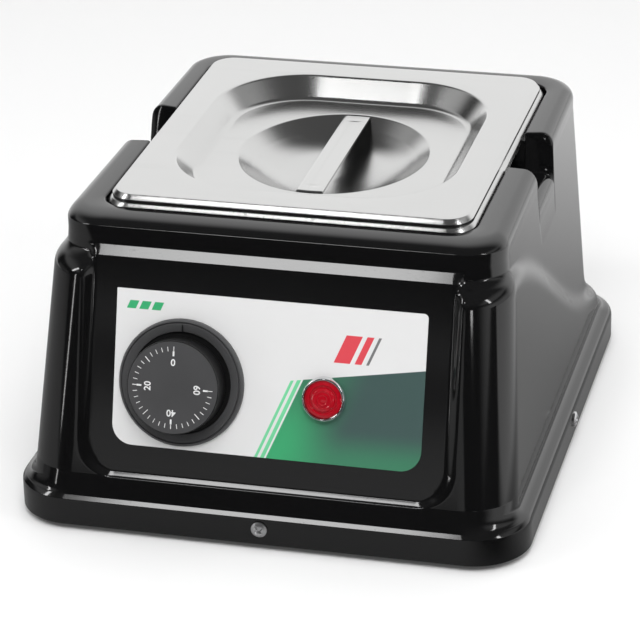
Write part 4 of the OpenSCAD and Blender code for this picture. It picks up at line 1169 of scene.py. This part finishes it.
class TANK_OT_stage(TankOperator, bpy.types.Operator):
    """Sets the floor, the studio light and the camera"""
    bl_idname = "tank.stage"
    bl_label = "Stage"

    def build(self):
        self.floor()
        self.sky()
        self.lamps()
        self.camera()
        bpy.context.scene.view_settings.view_transform = "Standard"

    def floor(self):
        """White sweep. In what the gloss mirrors it is dark towards the lens, bright behind and beside."""
        mesh = bpy.data.meshes.new("floor")
        reach = FLOOR_REACH
        corners = [(-reach, -reach, 0), (reach, -reach, 0), (reach, reach, 0), (-reach, reach, 0)]
        mesh.from_pydata(corners, [], [(0, 1, 2, 3)])
        made = bpy.data.objects.new("floor", mesh)
        bpy.context.scene.collection.objects.link(made)
        f = Finish("floor_paper")
        x, y, _ = f.axes()
        front = (x * 0.36 - y).step(0.19, 0.29) * (y * -1.0 - x * 0.5).step(0.10, 0.18)
        corner = (y * -1.0 - x * 0.155).step(0.08, 0.12) * x.step(0.08, 0.12)
        front = 1 - (1 - front) * (1 - corner)
        mirrored = f.node("ShaderNodeLightPath", output="Is Glossy Ray")
        seen = f.node("ShaderNodeLightPath", output="Is Camera Ray")
        paper = f.blend(mirrored, (0.80, 0.80, 0.80), (0.30, 0.30, 0.30))
        paper = f.blend(mirrored * front, paper, (0.02, 0.02, 0.02))
        matt = f.node("ShaderNodeBsdfDiffuse", inputs={"Color": paper})
        behind = y.step(0.06, 0.55)
        beside = (y + x * 0.155 + 0.10).step(0.0, 0.05) * x.step(0.17, 0.25)
        far = behind * 0.85 + (1 - behind) * beside * 0.7
        strength = seen * 0.05 + mirrored * far
        glow = f.node("ShaderNodeEmission", inputs={"Color": (1, 1, 1, 1), "Strength": strength})
        f.show(f.node("ShaderNodeAddShader", inputs={0: matt, 1: glow}))
        mesh.materials.append(f.material)

    def sky(self):
        """White behind the tank, dark overhead and round the lens, with one bright window high in front."""
        world = bpy.data.worlds.new("studio")
        bpy.context.scene.world = world
        g = Graph(world, "ShaderNodeOutputWorld", "Generated")
        x, y, z = g.axes()
        rear = y.step(0.40, 0.72)
        right = x.step(0.60, 0.95) * (1 - z.step(0.20, 0.50)) * 0.8
        sides = (x.step(0.50, 0.75) + (x * -1.0).step(0.50, 0.75)) * z.step(0.45, 0.60) * 0.5
        above = z.step(0.30, 0.80) * 0.08
        window = (x - y * 0.60).step(0.0, 0.012) * (y * 0.34 - x).step(0.0, 0.012)
        window = window * z.band(0.788, 0.843, 0.004) * 11.0
        left = (x * -1.0).step(0.92, 0.96) * (1 - z.step(0.10, 0.40)) * 0.2
        table = (1 - z.step(0.088, 0.100)) * 0.42 + z.band(0.1145, 0.1235, 0.0015) * 0.45
        low = table * (x + 0.36).step(0.0, 0.03) * (1 - x.step(0.05, 0.11)) * (y * -1.0).step(0.5, 0.6)
        seen = g.node("ShaderNodeLightPath", output="Is Camera Ray")
        mirrored = g.node("ShaderNodeLightPath", output="Is Glossy Ray")
        room = left + right + low + sides + above
        level = 0.02 + rear * (0.9 + mirrored * 0.4) + (1 - rear) * room + window
        level = seen + (1 - seen) * level
        g.show(g.node("ShaderNodeBackground", inputs={"Color": (1, 1, 1, 1), "Strength": level}))

    def lamps(self):
        for name, place, aim, size, power, shows in LAMPS:
            lamp = bpy.data.lights.new(name, "AREA")
            lamp.shape = "RECTANGLE"
            lamp.size, lamp.size_y = size
            lamp.energy = power
            made = bpy.data.objects.new(name, lamp)
            bpy.context.scene.collection.objects.link(made)
            made.location = place
            made.rotation_euler = (Vector(aim) - Vector(place)).to_track_quat("-Z", "Y").to_euler()
            made.visible_glossy = shows
            made.visible_camera = False

    def camera(self):
        azimuth, elevation, roll = (math.radians(v) for v in CAMERA_TURN)
        level = math.cos(elevation)
        back = Vector((math.sin(azimuth) * level, -math.cos(azimuth) * level, math.sin(elevation)))
        right = Vector((math.cos(azimuth), math.sin(azimuth), 0))
        up = back.cross(right)
        side = right * math.cos(roll) + up * math.sin(roll)
        rise = up * math.cos(roll) - right * math.sin(roll)
        lens = bpy.data.cameras.new("camera")
        lens.sensor_width = SENSOR
        lens.lens = FOCAL_PIXELS / FRAME_PIXELS * SENSOR
        made = bpy.data.objects.new("camera", lens)
        bpy.context.scene.collection.objects.link(made)
        turn = Matrix((side, rise, back)).transposed().to_4x4()
        made.matrix_world = Matrix.Translation(Vector(CAMERA_AT) * MM) @ turn
        bpy.context.scene.camera = made


class TANK_PT_tank(bpy.types.Panel):
    """Sidebar panel of the melting tank"""
    bl_idname = "TANK_PT_tank"
    bl_label = "Melting tank"
    bl_space_type = "VIEW_3D"
    bl_region_type = "UI"
    bl_category = "Tank"

    def draw(self, context):
        column = self.layout.column()
        for name in GROUPS:
            group = getattr(context.scene, name)
            for key in group.__annotations__:
                column.prop(group, key)
        for operator in OPERATORS:
            column.operator(operator.bl_idname)


GROUPS = {
    "tank_shell": ShellSizes,
    "tank_pan": PanSizes,
    "tank_control": ControlSizes,
    "tank_colours": TankColours,
}
OPERATORS = (
    TANK_OT_shell, TANK_OT_pan, TANK_OT_lid, TANK_OT_dial, TANK_OT_lamp, TANK_OT_screws, TANK_OT_solids,
    TANK_OT_stage,
)


def register():
    for made in (*GROUPS.values(), *OPERATORS, TANK_PT_tank):
        bpy.utils.register_class(made)
    for name, group in GROUPS.items():
        setattr(bpy.types.Scene, name, bpy.props.PointerProperty(type=group))


def unregister():
    for name in GROUPS:
        delattr(bpy.types.Scene, name)
    for made in (TANK_PT_tank, *reversed(OPERATORS), *GROUPS.values()):
        bpy.utils.unregister_class(made)


def main():
    register()
    bpy.ops.tank.stage()
    bpy.ops.tank.shell()
    bpy.ops.tank.pan()
    bpy.ops.tank.lid()
    bpy.ops.tank.dial()
    bpy.ops.tank.lamp()
    bpy.ops.tank.screws()
    bpy.ops.tank.solids()


if __name__ == "__main__":
    main()
